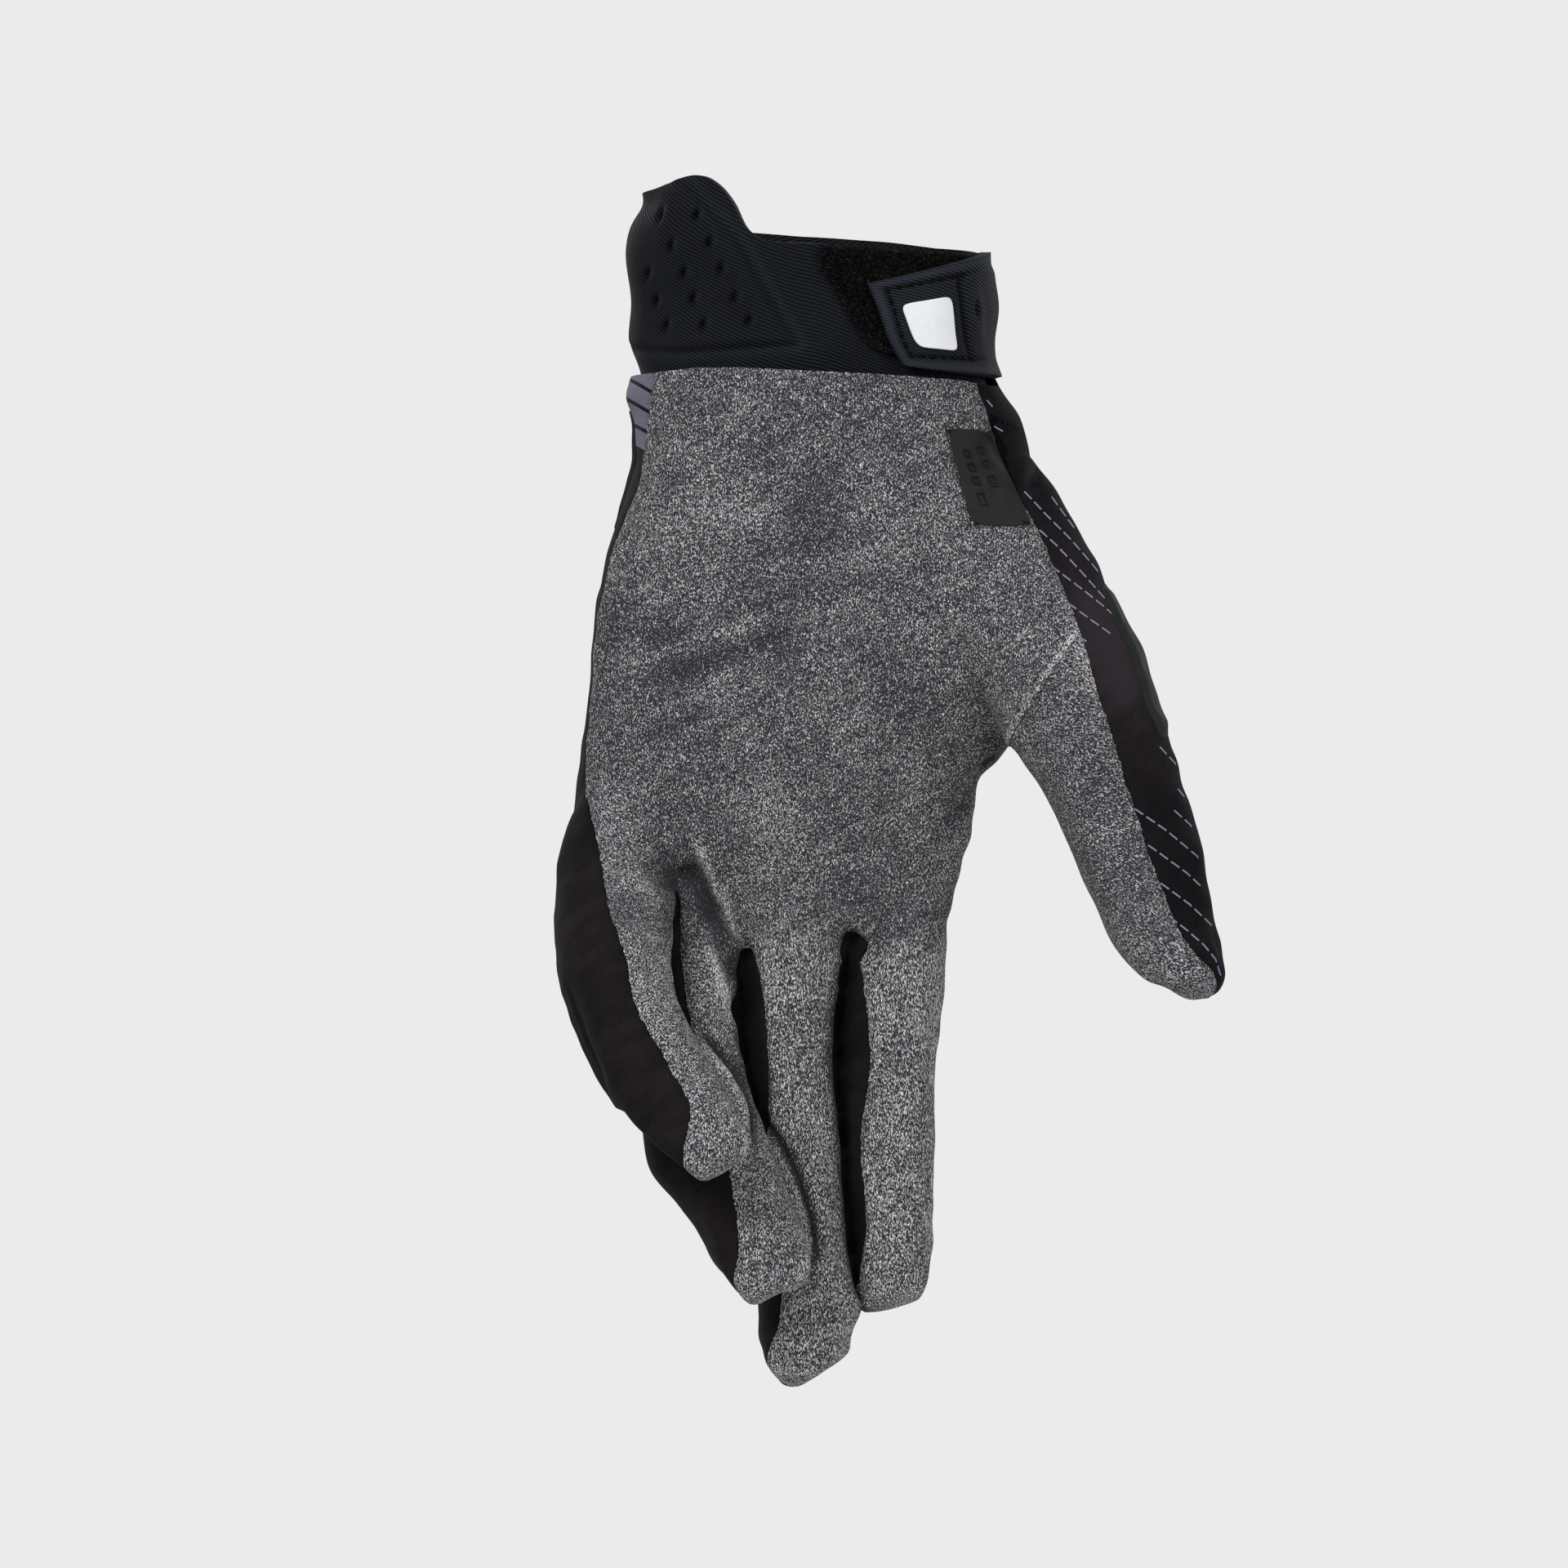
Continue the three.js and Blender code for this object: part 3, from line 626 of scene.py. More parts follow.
def suede_material(name, turn):
    """Suede whose flecks run along Z, or along Z turned by an angle in the palm's plane."""
    made, shader, place = material(name, 0.95, Specular_IOR_Level=0.12)
    along = place.mapped(turn=(0, turn, 0))
    short = along.mapped((1, 1, 0.56)).noise(4.3, 1.5, 0.6, 0.6)
    long = along.mapped((1, 1, 0.42)).noise(4.3, 1.5, 0.6, 0.4)
    fingers = place.axis("Z").ramp(*KNUCKLES, 1, 0)
    flecks = short + (long - short) * fingers
    patches = place.noise(0.06, 2.0, 0.55)
    creases = place.mapped(turn=(0, 27, 0)).mapped((0.09, 0.4, 0.42)).noise(1.0, 3.0, 0.6, 0.5)
    folds = painted_fold_shading(made)
    # Random blotches and stretched streaks of tone, and fingers a little lighter than the palm
    blotchy_tone = (patches - 0.5) * 0.09 + (creases - 0.5) * 0.12 + fingers * 0.032
    # The fold attribute adds painted light and shade: lighter on crests, darker in valleys, creases and
    # gaps
    light = (flecks + blotchy_tone + folds * 0.12).ramp(0.485, 0.775)
    link(shader, "Base Color", light.colours(linear(46, 46, 50), linear(228, 226, 228)))
    bump(shader, flecks + creases * 0.6, 0.17)
    return made


# Printed corner of the jersey, with stripes along lines of equal z + PRINT_SLOPE x. Of that sum: where
# one pitch starts, the least that is printed, and the pitch. Then the share of a pitch that stays black,
# and the greatest x and y of the print
PRINT_SLOPE = 0.62
PRINT_START = -51.2
PRINT_LOWEST = -63.8
PRINT_PITCH = 4.35
PRINT_BLACK = 0.19
PRINT_RIGHT = -20
PRINT_BACK = 6


def jersey_material():
    settings = {"Sheen_Weight": 0.01, "Sheen_Roughness": 0.5, "Specular_IOR_Level": 0.08}
    made, shader, place = material("jersey", 0.85, **settings)
    slanted = place.mapped(turn=(0, 35, 0))
    knit = slanted.noise(4.5, 2.0, 0.6)
    cloudy = place.noise(0.05, 2.0, 0.5)
    # Stretched streaks are painted light and shade of soft wrinkles, and the fold attribute adds painted
    # shade in gaps and along folds
    wrinkle_shading = slanted.mapped((0.1, 0.35, 0.3)).noise(1.0, 2.0, 0.55)
    folds = painted_fold_shading(made)
    tone = (knit - 0.5) * 0.9 + (cloudy - 0.5) * 0.6 + (wrinkle_shading - 0.5) * 0.45 + folds * 0.5 + 0.5
    black = tone.ramp(0.2, 1.25).colours(linear(12, 10, 12), linear(45, 40, 44))
    lavender = knit.ramp(0.25, 0.75).colours(linear(88, 84, 99), linear(115, 111, 128))
    x, z = place.axis("X"), place.axis("Z")
    across = z + x * PRINT_SLOPE
    stripe = ((across - PRINT_START) / PRINT_PITCH).maths("FRACT").maths("GREATER_THAN", PRINT_BLACK)
    printed = stripe * across.maths("GREATER_THAN", PRINT_LOWEST) * x.maths("LESS_THAN", PRINT_RIGHT)
    printed = printed * place.axis("Y").maths("LESS_THAN", PRINT_BACK)
    link(shader, "Base Color", printed.mixed(black, lavender))
    bump(shader, knit, 0.06)
    return made


# Ribs of the cuff's cloth: pitch in millimetres, and how much they slant
RIB_PITCH = 0.78
RIB_SLOPE = 0.52


def rib_material(name, low, high):
    settings = {"Sheen_Weight": 0.015, "Sheen_Roughness": 0.4, "Specular_IOR_Level": 0.12}
    made, shader, _ = material(name, 0.7, **settings)
    source = made.node_tree.nodes.new("ShaderNodeUVMap")
    source.uv_map = "cloth"
    cloth = Value(made.node_tree, source.outputs["UV"])
    wander = cloth.noise(0.12, 1.0) * 0.9
    across = cloth.axis("Y") + cloth.axis("X") * RIB_SLOPE + wander
    rib = (across * (2 * math.pi / RIB_PITCH)).maths("SINE")
    weave = cloth.mapped((1, 3, 1)).noise(2.6, 2.0, 0.6)
    folds = painted_fold_shading(made)
    # The fold attribute adds painted light and shade round the pad, in its dents and on the strap's relief
    tone = rib * 0.5 + weave * 0.9 + folds * 0.5
    link(shader, "Base Color", tone.ramp(-0.15, 1.35).colours(linear(*low), linear(*high)))
    bump(shader, rib * 0.5 + weave * 0.7, 0.16)
    return made


def rubber_material():
    made, shader, place = material("rubber", 0.55, Specular_IOR_Level=0.16)
    grain = place.noise(5.0, 2.0, 0.6)
    wear = place.noise(0.3, 2.0, 0.5)
    tone = grain * 0.5 + wear * 0.5
    link(shader, "Base Color", tone.ramp(0.3, 0.7).colours(linear(25, 26, 26), linear(38, 39, 39)))
    link(shader, "Roughness", wear.ramp(0.3, 0.7, 0.66, 0.8))
    bump(shader, grain, 0.03)
    return made


def pile_material():
    made, shader, place = material("loop_pile", 0.85, Specular_IOR_Level=0.15)
    tone = place.noise(1.6, 2.0, 0.6)
    link(shader, "Base Color", tone.ramp(0.48, 0.75).colours(linear(0, 0, 0), linear(48, 45, 47)))
    return made


def thread_material(name, low, high):
    made, shader, place = material(name, 0.7, Specular_IOR_Level=0.1)
    twist = place.mapped(turn=(0, 40, 0)).noise(6.0, 1.0)
    link(shader, "Base Color", twist.ramp(0.3, 0.7).colours(linear(*low), linear(*high)))
    bump(shader, twist, 0.05)
    return made


def badge_material():
    made, shader, place = material("white_badge", 0.42)
    tone = place.noise(0.8, 2.0, 0.5)
    low, high = linear(223, 225, 227), linear(227, 229, 231)
    link(shader, "Base Color", tone.ramp(0.3, 0.7).colours(low, high))
    return made


SUEDE = suede_material("suede", 0)
THUMB_SUEDE = suede_material("thumb_suede", 65)
JERSEY = jersey_material()
RIB = rib_material("ribbed_cloth", (0, 1, 3), (30, 33, 42))
STRAP_RIB = rib_material("strap_cloth", (0, 0, 2), (46, 50, 59))
RUBBER = rubber_material()
PILE = pile_material()
THREAD = thread_material("black_thread", (0, 0, 1), (6, 6, 8))
PRINT = thread_material("lavender_print", (112, 108, 130), (146, 142, 164))
WHITE = badge_material()


# The hand's skin


def limb_shell(limb, start, sides, rings):
    """A sphere wrapped on to a limb, from start to its tip."""
    bpy.ops.mesh.primitive_uv_sphere_add(segments=sides, ring_count=rings)
    obj = bpy.context.object
    unit = coords(obj)
    ring_number = np.round(np.arccos(np.clip(unit[:, 2], -1, 1)) / math.pi * rings)
    share = np.clip((ring_number - 1) / (rings - 1), 0, 1)
    t = start + (1 - start) * (1 - (1 - share) ** 1.5)
    around = np.arctan2(unit[:, 0], -unit[:, 1]) / DEG
    points = limb.place(t, around)
    points[ring_number == 0] = limb.centre(start)
    set_coords(obj, points)
    return obj


# Folds of the skin, seen from the palm: path in the photograph's pixels, then half width and
# height in millimetres, then the painted highlight on the fold's colour, painted shade where below 0
FOLDS = [
    ([(846, 1020), (856, 1036), (865, 1055), (876, 1082), (888, 1106), (900, 1141), (912, 1168)],
     1.0, 1.6, 0.62),
    ([(836, 1046), (852, 1078), (868, 1112), (886, 1150)], 2.4, -2.2, -0.75),
    ([(860, 1151), (871, 1173), (881, 1204), (893, 1237), (902, 1275)], 1.2, 0.8, 0.55),
    ([(878, 1140), (893, 1172), (902, 1205)], 2.2, -1.1, -0.35),
    ([(762, 1058), (780, 1080), (800, 1103), (822, 1118)], 1.6, 0.8, 0.25),
    ([(800, 1040), (822, 1068), (834, 1096)], 3.0, -1.4, -0.5),
    ([(1292, 830), (1270, 875), (1262, 905)], 3.0, -0.5, -0.15),
    ([(1200, 941), (1210, 931), (1224, 921)], 1.0, -1.2, -1.4),
    ([(1190, 955), (1204, 925), (1228, 900)], 2.6, 0.6, 0.15),
    ([(1150, 1010), (1170, 990), (1198, 972)], 1.6, -0.6, -0.3),
    ([(1145, 1040), (1170, 1030), (1190, 1024)], 1.8, 0.3, 0.15),
    ([(760, 812), (840, 792), (907, 770), (960, 752)], 1.7, 0.4, 0.3),
    ([(770, 850), (850, 818), (930, 792), (1000, 780)], 2.6, -0.45, -0.3),
    ([(782, 915), (815, 895), (840, 880), (880, 858)], 1.8, -0.5, -0.4),
    ([(800, 900), (850, 868), (900, 850)], 2.0, 0.3, 0.2),
    ([(900, 752), (960, 735), (1010, 715)], 2.4, -0.35, -0.25),
    ([(985, 700), (1045, 690), (1100, 690)], 2.2, 0.25, 0.15),
    ([(995, 725), (1060, 715), (1110, 720)], 2.4, -0.3, -0.2),
    ([(985, 560), (1002, 640), (990, 720)], 6.0, -0.45, -0.25),
    ([(840, 520), (872, 600), (880, 680)], 7.0, 0.4, 0.12),
    ([(800, 760), (840, 800), (850, 850)], 7.0, -0.5, -0.35),
    ([(1130, 560), (1150, 640), (1190, 740)], 7.0, 0.3, 0.12),
    ([(1080, 800), (1120, 860), (1140, 940)], 8.0, -0.3, -0.12),
    ([(930, 950), (960, 1020), (955, 1090)], 6.0, 0.3, 0.1),
    ([(1252, 530), (1256, 562), (1253, 606)], 0.9, 0.8, 1.2),
    ([(1261, 534), (1265, 566), (1261, 600)], 1.0, -0.9, -1.8),
    ([(1232, 560), (1243, 590), (1252, 612)], 2.2, -1.2, -0.5),
    ([(1205, 500), (1222, 545), (1236, 580)], 2.0, -0.6, 0.0),
    ([(845, 1262), (868, 1286), (890, 1312), (906, 1340), (912, 1368), (911, 1402), (900, 1425)],
     0.9, 0.7, 0.6),
    ([(852, 1256), (877, 1280), (900, 1306), (917, 1335), (922, 1368), (920, 1406)], 1.1, -1.7, -1.9),
    ([(903, 1300), (921, 1350), (926, 1372), (950, 1410), (968, 1450), (983, 1490), (987, 1520),
      (981, 1553), (966, 1572)], 0.9, 0.6, 0.5),
    ([(934, 1345), (937, 1370), (960, 1404), (979, 1445), (993, 1487), (998, 1520), (992, 1560)],
     1.1, -1.6, -1.8),
    # These four rows only paint: a highlight down the thumb's side, shade on the ring finger beside the
    # little finger, and faint shade on the little finger and by the thumb
    ([(1330, 700), (1362, 800), (1392, 880)], 6.0, 0, 1.2),
    ([(912, 1175), (918, 1250), (926, 1310), (936, 1365)], 2.6, 0, -1.0),
    ([(838, 1290), (868, 1350), (882, 1410)], 5.0, 0, -0.2),
    ([(1285, 950), (1340, 1060), (1400, 1150)], 8.0, 0, -0.08),
    ([(688, 1191), (701, 1238), (714, 1271), (727, 1299), (745, 1339)], 0.7, -0.5, -1.4),
    ([(1361, 724), (1375, 754), (1382, 786), (1395, 824), (1411, 869), (1423, 894)], 0.7, -0.4, -1.2),
]


def fold(points, path, width, height, painted_shading):
    """Height of one fold, which follows a bent path seen from the palm side, and its painted light and
    shade.
    """
    spot = points[:, [0, 2]]
    knots = np.array([mm(*p) for p in path])
    along = np.linspace(0, len(knots) - 1, 12 * len(knots))
    line = np.stack([np.interp(along, np.arange(len(knots)), knots[:, k]) for k in (0, 1)], -1)
    span = np.abs(line - line.mean(0)).max(0) + 3 * width
    near = (np.abs(spot - line.mean(0)) < span).all(1)
    away = np.linalg.norm(spot[near, None] - line[None], axis=2)
    nearest = away.argmin(1) / (len(line) - 1)
    shape = np.minimum(np.sin(np.pi * np.clip(nearest, 0.04, 0.96)) * 1.6, 1)
    shape = shape * np.exp(-((away.min(1) / width) ** 2))
    lift, tone = np.zeros(len(points)), np.zeros(len(points))
    lift[near], tone[near] = height * shape, painted_shading * shape
    return lift, tone


# Where the outline is let out or taken in: place in the photograph, reach and amount in millimetres
EASES = [
    ((768, 484), 3.5, 1.6),
    ((768, 560), 8, -1.2),
    ((742, 690), 11, 1.6),
    ((727, 785), 11, 1.9),
    ((710, 900), 9, 0.4),
    ((698, 1005), 8, 0.1),
    ((682, 1080), 8, -0.4),
    ((702, 1262), 10, -1.4),
    ((738, 1340), 6, -0.9),
    ((796, 1425), 5, 1.6),
    ((820, 1455), 5, 0.4),
    ((842, 1502), 6, -1.1),
    ((890, 1562), 4.5, 0.1),
    ((936, 1632), 4, 0.5),
    ((938, 1668), 3, 1.2),
    ((1046, 1640), 5, -1.3),
    ((1053, 1600), 2.5, 1.2),
    ((1152, 1300), 16, -1.0),
    ((1146, 1470), 14, -0.9),
    ((1163, 1140), 5, 0.3),
    ((1175, 1095), 5, -0.8),
    ((1189, 1020), 5, 0.8),
    ((1203, 955), 4, -1.6),
    ((1330, 1075), 8, 1.2),
    ((1362, 1145), 7, 1.1),
    ((1418, 1207), 7, -1.9),
    ((1484, 1216), 3, 1.6),
    ((1499, 1155), 8, -1.6),
    ((1242, 512), 5, 2.2),
    ((1256, 532), 4, 1.2),
    ((1262, 553), 4, 1.7),
    ((1286, 590), 7, 2.3),
    ((1322, 655), 8, 1.9),
    ((1345, 700), 6, 1.5),
    ((1375, 745), 6, 0.3),
    ((1402, 805), 8, 2.1),
    ((1437, 897), 7, 0.5),
    ((1468, 1020), 9, 0.7),
    ((1236, 905), 2.5, 1.2),
    ((903, 1236), 3, -1.6),
]

# Flat ends of the fingertips: the limb, and two spots of the photograph on the line that cuts it
TIP_CUTS = [
    ("little", (868, 1441), (914, 1409)),
    ("little", (770, 1361), (862, 1440)),
    ("ring", (922, 1592), (984, 1566)),
    ("ring", (866, 1528), (920, 1592)),
    ("middle", (972, 1697), (1046, 1651)),
    ("middle", (940, 1655), (956, 1690)),
    ("index", (1049, 1610), (1130, 1594)),
    ("index", (1130, 1594), (1145, 1540)),
    ("thumb", (1400, 1208), (1442, 1224)),
    ("thumb", (1441, 1226), (1490, 1225)),
    ("thumb", (1500, 1215), (1498, 1150)),
]

# A spot of the photograph that is inside every cutting line, and where on a limb its tip begins
GLOVE_MIDDLE = (1000, 900)
TIP_START = 0.75


def cut_tips(points, seen):
    """Presses each fingertip softly back behind its cutting lines."""
    points = points.copy()
    softness = 0.5
    for name, first, last in TIP_CUTS:
        t, _, off, _ = seen[LIMB_NAMES.index(name)]
        mine = (t > TIP_START) & (np.abs(off) < 3)
        a, b = np.array(mm(*first)), np.array(mm(*last))
        way = np.array([b[1] - a[1], a[0] - b[0]])
        way /= np.hypot(*way)
        way *= np.sign(way @ (a - np.array(mm(*GLOVE_MIDDLE))))
        off_line = points[mine][:, [0, 2]] - a
        beyond = off_line @ way
        run = (b - a) / np.hypot(*(b - a))
        past_ends = np.abs(off_line @ run - np.hypot(*(b - a)) / 2) - np.hypot(*(b - a)) / 2
        held = -softness * np.log1p(np.exp(-beyond / softness))
        shift = (held - beyond) * smooth(past_ends, 5, 1)
        points[mine] += np.outer(shift, [way[0], 0, way[1]])
    return points


def waves(points, seed, count, wavelength, stretch=(1, 1, 1)):
    """Smooth noise of about unit height, from random sine waves."""
    draw = np.random.default_rng(seed)
    way = draw.normal(size=(count, 3)) * stretch
    way /= np.linalg.norm(way, axis=1, keepdims=True)
    way *= 2 * math.pi / (wavelength * draw.uniform(0.7, 1.5, (count, 1)))
    return np.sin(points @ way.T + draw.uniform(0, 7, count)).sum(1) * (2 / count) ** 0.5


def near_spots(points, rows):
    """The greatest closeness to the listed spots, from 0 to 1, seen from the palm side."""
    away = [np.linalg.norm(points[:, [0, 2]] - mm(*spot), axis=1) / reach for spot, reach in rows]
    return np.exp(-(np.min(away, 0) ** 2))


def eased(lift, points, out, rows):
    """The lift with each row's amount added near its spot, but not where the cloth faces -Y or +Y."""
    side = smooth(np.abs(out[:, 1]), 0.95, 0.5)
    for spot, reach, amount in rows:
        lift = lift + amount * near_spots(points, [(spot, reach)]) * side
    return lift


# Where cloth is drawn smooth between two limbs: place in the photograph, reach in millimetres
WEBS = [((832, 1082), 5), ((915, 1158), 4), ((1040, 1132), 4), ((1236, 898), 4)]

# Where the bottom of a web is raised: place in the photograph, reach and rise in millimetres
WEB_RISES = [((1041, 1158), 2.6, 3.6), ((1238, 912), 2.0, 0.6)]

# Edge length of the skin's first faces, and the half width under which a fold needs smaller ones
VOXEL = 0.9
NARROW = 1.2

# Sides and rings of the shells that the skin is made from
PALM_SHELL = (128, 90)
FINGER_SHELL = (72, 70)


def refine_folds(obj):
    """Halves the faces that lie along the narrow folds of the palm side."""
    points, out = coords(obj), normals(obj)
    near = np.zeros(len(points), bool)
    for path, width, _, _ in FOLDS:
        if width < NARROW:
            near |= fold(points, path, 2 * width, 1, 1)[0] > 0.12
    near &= out[:, 1] < 0.1
    mesh = bmesh.new()
    mesh.from_mesh(obj.data)
    chosen = [e for e in mesh.edges if near[e.verts[0].index] and near[e.verts[1].index]]
    bmesh.ops.subdivide_edges(mesh, edges=chosen, cuts=1, use_grid_fill=True)
    mesh.to_mesh(obj.data)
    mesh.free()


def make_skin():
    """The hand's outer skin: its limbs as one mesh, with its webs, blunt fingertips and folds, and the
    painted light and shade of its folds and of the gaps between fingers.
    """
    shells = [limb_shell(palm, -0.05, *PALM_SHELL)]
    shells += [limb_shell(limb, 0, *FINGER_SHELL) for limb in LIMBS[1:]]
    skin = joined(shells, "skin")
    skin.data.remesh_voxel_size = VOXEL
    bpy.ops.object.voxel_remesh()
    refine_folds(skin)
    relax(skin, 4)
    points, out = coords(skin), normals(skin)
    seen = [limb.seen_from(points) for limb in LIMBS]
    off = np.stack([np.abs(s[2]) for s in seen])
    face = smooth(np.abs(out[:, 1]), 0.35, 0.75)
    root = np.exp(-((off[0] / 6) ** 2)) * np.exp(-((off[1:].min(0) / 6) ** 2)) * face
    web = near_spots(points, WEBS)
    relax(skin, 30, np.clip(root * 1.3 + web, 0, 1))
    points = cut_tips(coords(skin), seen)
    down = smooth(-normals(skin)[:, 2], 0.0, 0.8)
    for spot, reach, rise in WEB_RISES:
        points[:, 2] += rise * down * near_spots(points, [(spot, reach)])
    set_coords(skin, points)
    relax(skin, 3, web)
    out = normals(skin)
    # Where the sides of two fingers touch, the cloth is pressed in and tone paints shade there; tone also
    # paints shade on cloth facing into the gaps between fingers
    between = np.sort(off[1:5], 0)[:2]
    contact = np.exp(-((between / 1.2) ** 2).sum(0)) * smooth(off[0], 1.5, 3.5) * (1 - web)
    front = smooth(-out[:, 1], 0.0, 0.45)
    gap_shade = np.exp(-((between[1] / 4) ** 2)) * smooth(np.abs(out[:, 1]), 0.8, 0.3)
    lift, tone = -1.4 * contact, -1.2 * contact - 1.6 * gap_shade
    for row in FOLDS:
        height, painted_shading = fold(points, *row)
        lift += height * front
        tone += painted_shading * front
    lift = eased(lift, points, out, EASES)
    lift += 0.2 * waves(points, 3, 24, 17) + 0.09 * waves(points, 4, 30, 7, (1, 1, 2.2))
    set_coords(skin, points + out * lift[:, None])
    relax(skin, 1)
    store(skin, {"fold": np.clip(tone, -2.2, 1.2)})
    return skin


# Seam in the suede at the base of the thumb: share down the thumb, and slant in degrees
THUMB_SEAM = 0.4
SEAM_SLANT = 28
seam_right, _, seam_run = (axis[0] for axis in thumb.axes(np.array([THUMB_SEAM])))
seam_normal = seam_run * math.cos(SEAM_SLANT * DEG) + seam_right * math.sin(SEAM_SLANT * DEG)


def seam_fields(points):
    """Distances in millimetres inside the suede, past the thumb's seam, and out on the thumb."""
    seen = [limb.seen_from(points) for limb in LIMBS]
    off = np.stack([s[2] for s in seen])
    weight = np.exp(-((off / 1.2) ** 2)) + 1e-9 / (1 + off**2)
    inside = np.stack([limb.suede(s[0], s[1], s[3]) for limb, s in zip(LIMBS, seen)])
    suede = (weight * inside).sum(0) / weight.sum(0)
    past = (points - thumb.centre(np.array([THUMB_SEAM]))) @ seam_normal
    on_thumb = np.minimum(off[0], 4 - np.abs(off[5]))
    return {"suede": suede, "past": np.minimum(past, on_thumb), "thumb": on_thumb}


def cut(obj, name, level, keep):
    """Cuts an object where a stored field has this level.

    keep is 1 for the side above it, -1 for the side below it and None for both.
    """
    mesh = bmesh.new()
    mesh.from_mesh(obj.data)
    rest = mesh.verts.layers.float_vector.new("rest")
    field = mesh.verts.layers.float[name]
    for vert in mesh.verts:
        vert[rest] = vert.co
        vert.co.z = vert[field]
    bmesh.ops.bisect_plane(
        mesh,
        geom=mesh.verts[:] + mesh.edges[:] + mesh.faces[:],
        dist=0.03,
        plane_co=(0, 0, level),
        plane_no=(0, 0, 1),
        clear_inner=keep == 1,
        clear_outer=keep == -1,
    )
    for vert in mesh.verts:
        vert.co = vert[rest]
    mesh.verts.layers.float_vector.remove(rest)
    mesh.to_mesh(obj.data)
    mesh.free()


def copied(obj, name):
    twin = obj.copy()
    twin.data = obj.data.copy()
    twin.name = twin.data.name = name
    bpy.context.collection.objects.link(twin)
    return twin


# Vertices under which a loose scrap of cloth is dropped, and thickness of a panel's wall
CRUMB = 200
PANEL_WALL = 1.1


def tidy_small(obj):
    """Drops loose crumbs of cloth that a cut leaves."""
    mesh = bmesh.new()
    mesh.from_mesh(obj.data)
    left = set(mesh.verts)
    doomed = []
    while left:
        island, todo = [], [left.pop()]
        while todo:
            vert = todo.pop()
            island.append(vert)
            for edge in vert.link_edges:
                other = edge.other_vert(vert)
                if other in left:
                    left.remove(other)
                    todo.append(other)
        if len(island) < CRUMB:
            doomed += island
    bmesh.ops.delete(mesh, geom=doomed, context="VERTS")
    mesh.to_mesh(obj.data)
    mesh.free()


def panel(skin, name, cuts, lift):
    """One cloth panel: the skin kept by the cuts, raised by lift and given its thickness."""
    obj = copied(skin, name)
    for field, level, keep in cuts:
        cut(obj, field, level, keep)
    tidy_small(obj)
    set_coords(obj, coords(obj) + normals(obj) * lift(obj)[:, None])
    apply(obj, "SOLIDIFY", thickness=PANEL_WALL, offset=-1, use_even_offset=False)
    return obj


# Top edge of the hand's cloth on the palm side, in the photograph's pixels
HEM = [
    (760, 462), (800, 459), (850, 454), (906, 454), (972, 457), (1072, 462), (1171, 468), (1201, 473),
    (1230, 475),
]

# Where the suede's edge is let out or taken in: place in the photograph, reach and amount in millimetres
NUDGES = [
    ((832, 1080), 4, 3.0),
    ((1045, 1153), 1.9, -60.0),
]


def hem_height(points):
    """Height of the hand's top edge over each point: level at the back, on HEM at the palm side."""
    line = np.array([mm(*p) for p in HEM])
    seen = np.interp(points[:, 0], line[:, 0], line[:, 1])
    front = smooth(-points[:, 1], -2, 6)
    return PALM_TOP + 0.5 + (seen - PALM_TOP - 0.5) * front


def nudges(points):
    """How far the suede's edge is moved: a fine wave as stitches draw it, and the listed spots."""
    total = 0.06 * np.sin(points[:, 2] * 2 * math.pi / 1.9) + 0.07 * waves(points, 31, 24, 3.2)
    for spot, reach, amount in NUDGES:
        total = total + amount * near_spots(points, [(spot, reach)])
    return total


skin = make_skin()
skin_points = coords(skin)
fields = seam_fields(skin_points)
fields["height"] = hem_height(skin_points) - skin_points[:, 2]
fields["suede"] = fields["suede"] + nudges(skin_points)
store(skin, fields)
# A painted highlight along the palm suede's edge at the thumb's seam, added to the fold attribute
seam_light = 0.75 * np.exp(-(((fields["past"] + 0.3) / 0.45) ** 2)) * smooth(fields["suede"], -1, 1)
skin.data.attributes["fold"].data.foreach_set("value", read(skin, "fold") + seam_light)
cut(skin, "height", 0, 1)


def suede_lift(obj):
    edge = np.minimum(read(obj, "suede"), read(obj, "height"))
    return 0.5 * smooth(edge, -0.5, 0.7)


def palm_lift(obj):
    return suede_lift(obj) + 0.2 * smooth(read(obj, "past"), -3, -0.4)


def jersey_lift(obj):
    return -0.9 * smooth(read(obj, "suede"), -0.9, 0.4)


def thumb_front_lift(obj):
    return suede_lift(obj) - 0.3 * smooth(-read(obj, "past"), -0.9, 0.3)


# Cuts of the panels: field, level in millimetres, and the side that is kept. The suede laps over the
# jersey, and a last cut that keeps both sides gives the suede a row of edges where it bends down
SUEDE_CUT = ("suede", -0.4, 1)
JERSEY_CUT = ("suede", 1.0, -1)
BEND_CUT = ("suede", 0.2, None)

palm_panel = panel(skin, "palm_panel", [SUEDE_CUT, ("past", 0.4, -1), BEND_CUT], palm_lift)
thumb_front = panel(
    skin, "thumb_front_panel", [SUEDE_CUT, ("past", -1.0, 1), BEND_CUT], thumb_front_lift
)
back_panel = panel(skin, "back_panel", [JERSEY_CUT, ("thumb", 0.2, -1)], jersey_lift)
thumb_back = panel(skin, "thumb_back_panel", [JERSEY_CUT, ("thumb", -0.6, 1)], jersey_lift)


def surface_of(*objects):
    """A search tree over the outer surfaces of these objects."""
    points, faces, first = [], [], 0
    for obj in objects:
        points += [v.co.copy() for v in obj.data.vertices]
        faces += [[first + i for i in p.vertices] for p in obj.data.polygons]
        first += len(obj.data.vertices)
    return BVHTree.FromPolygons(points, faces)


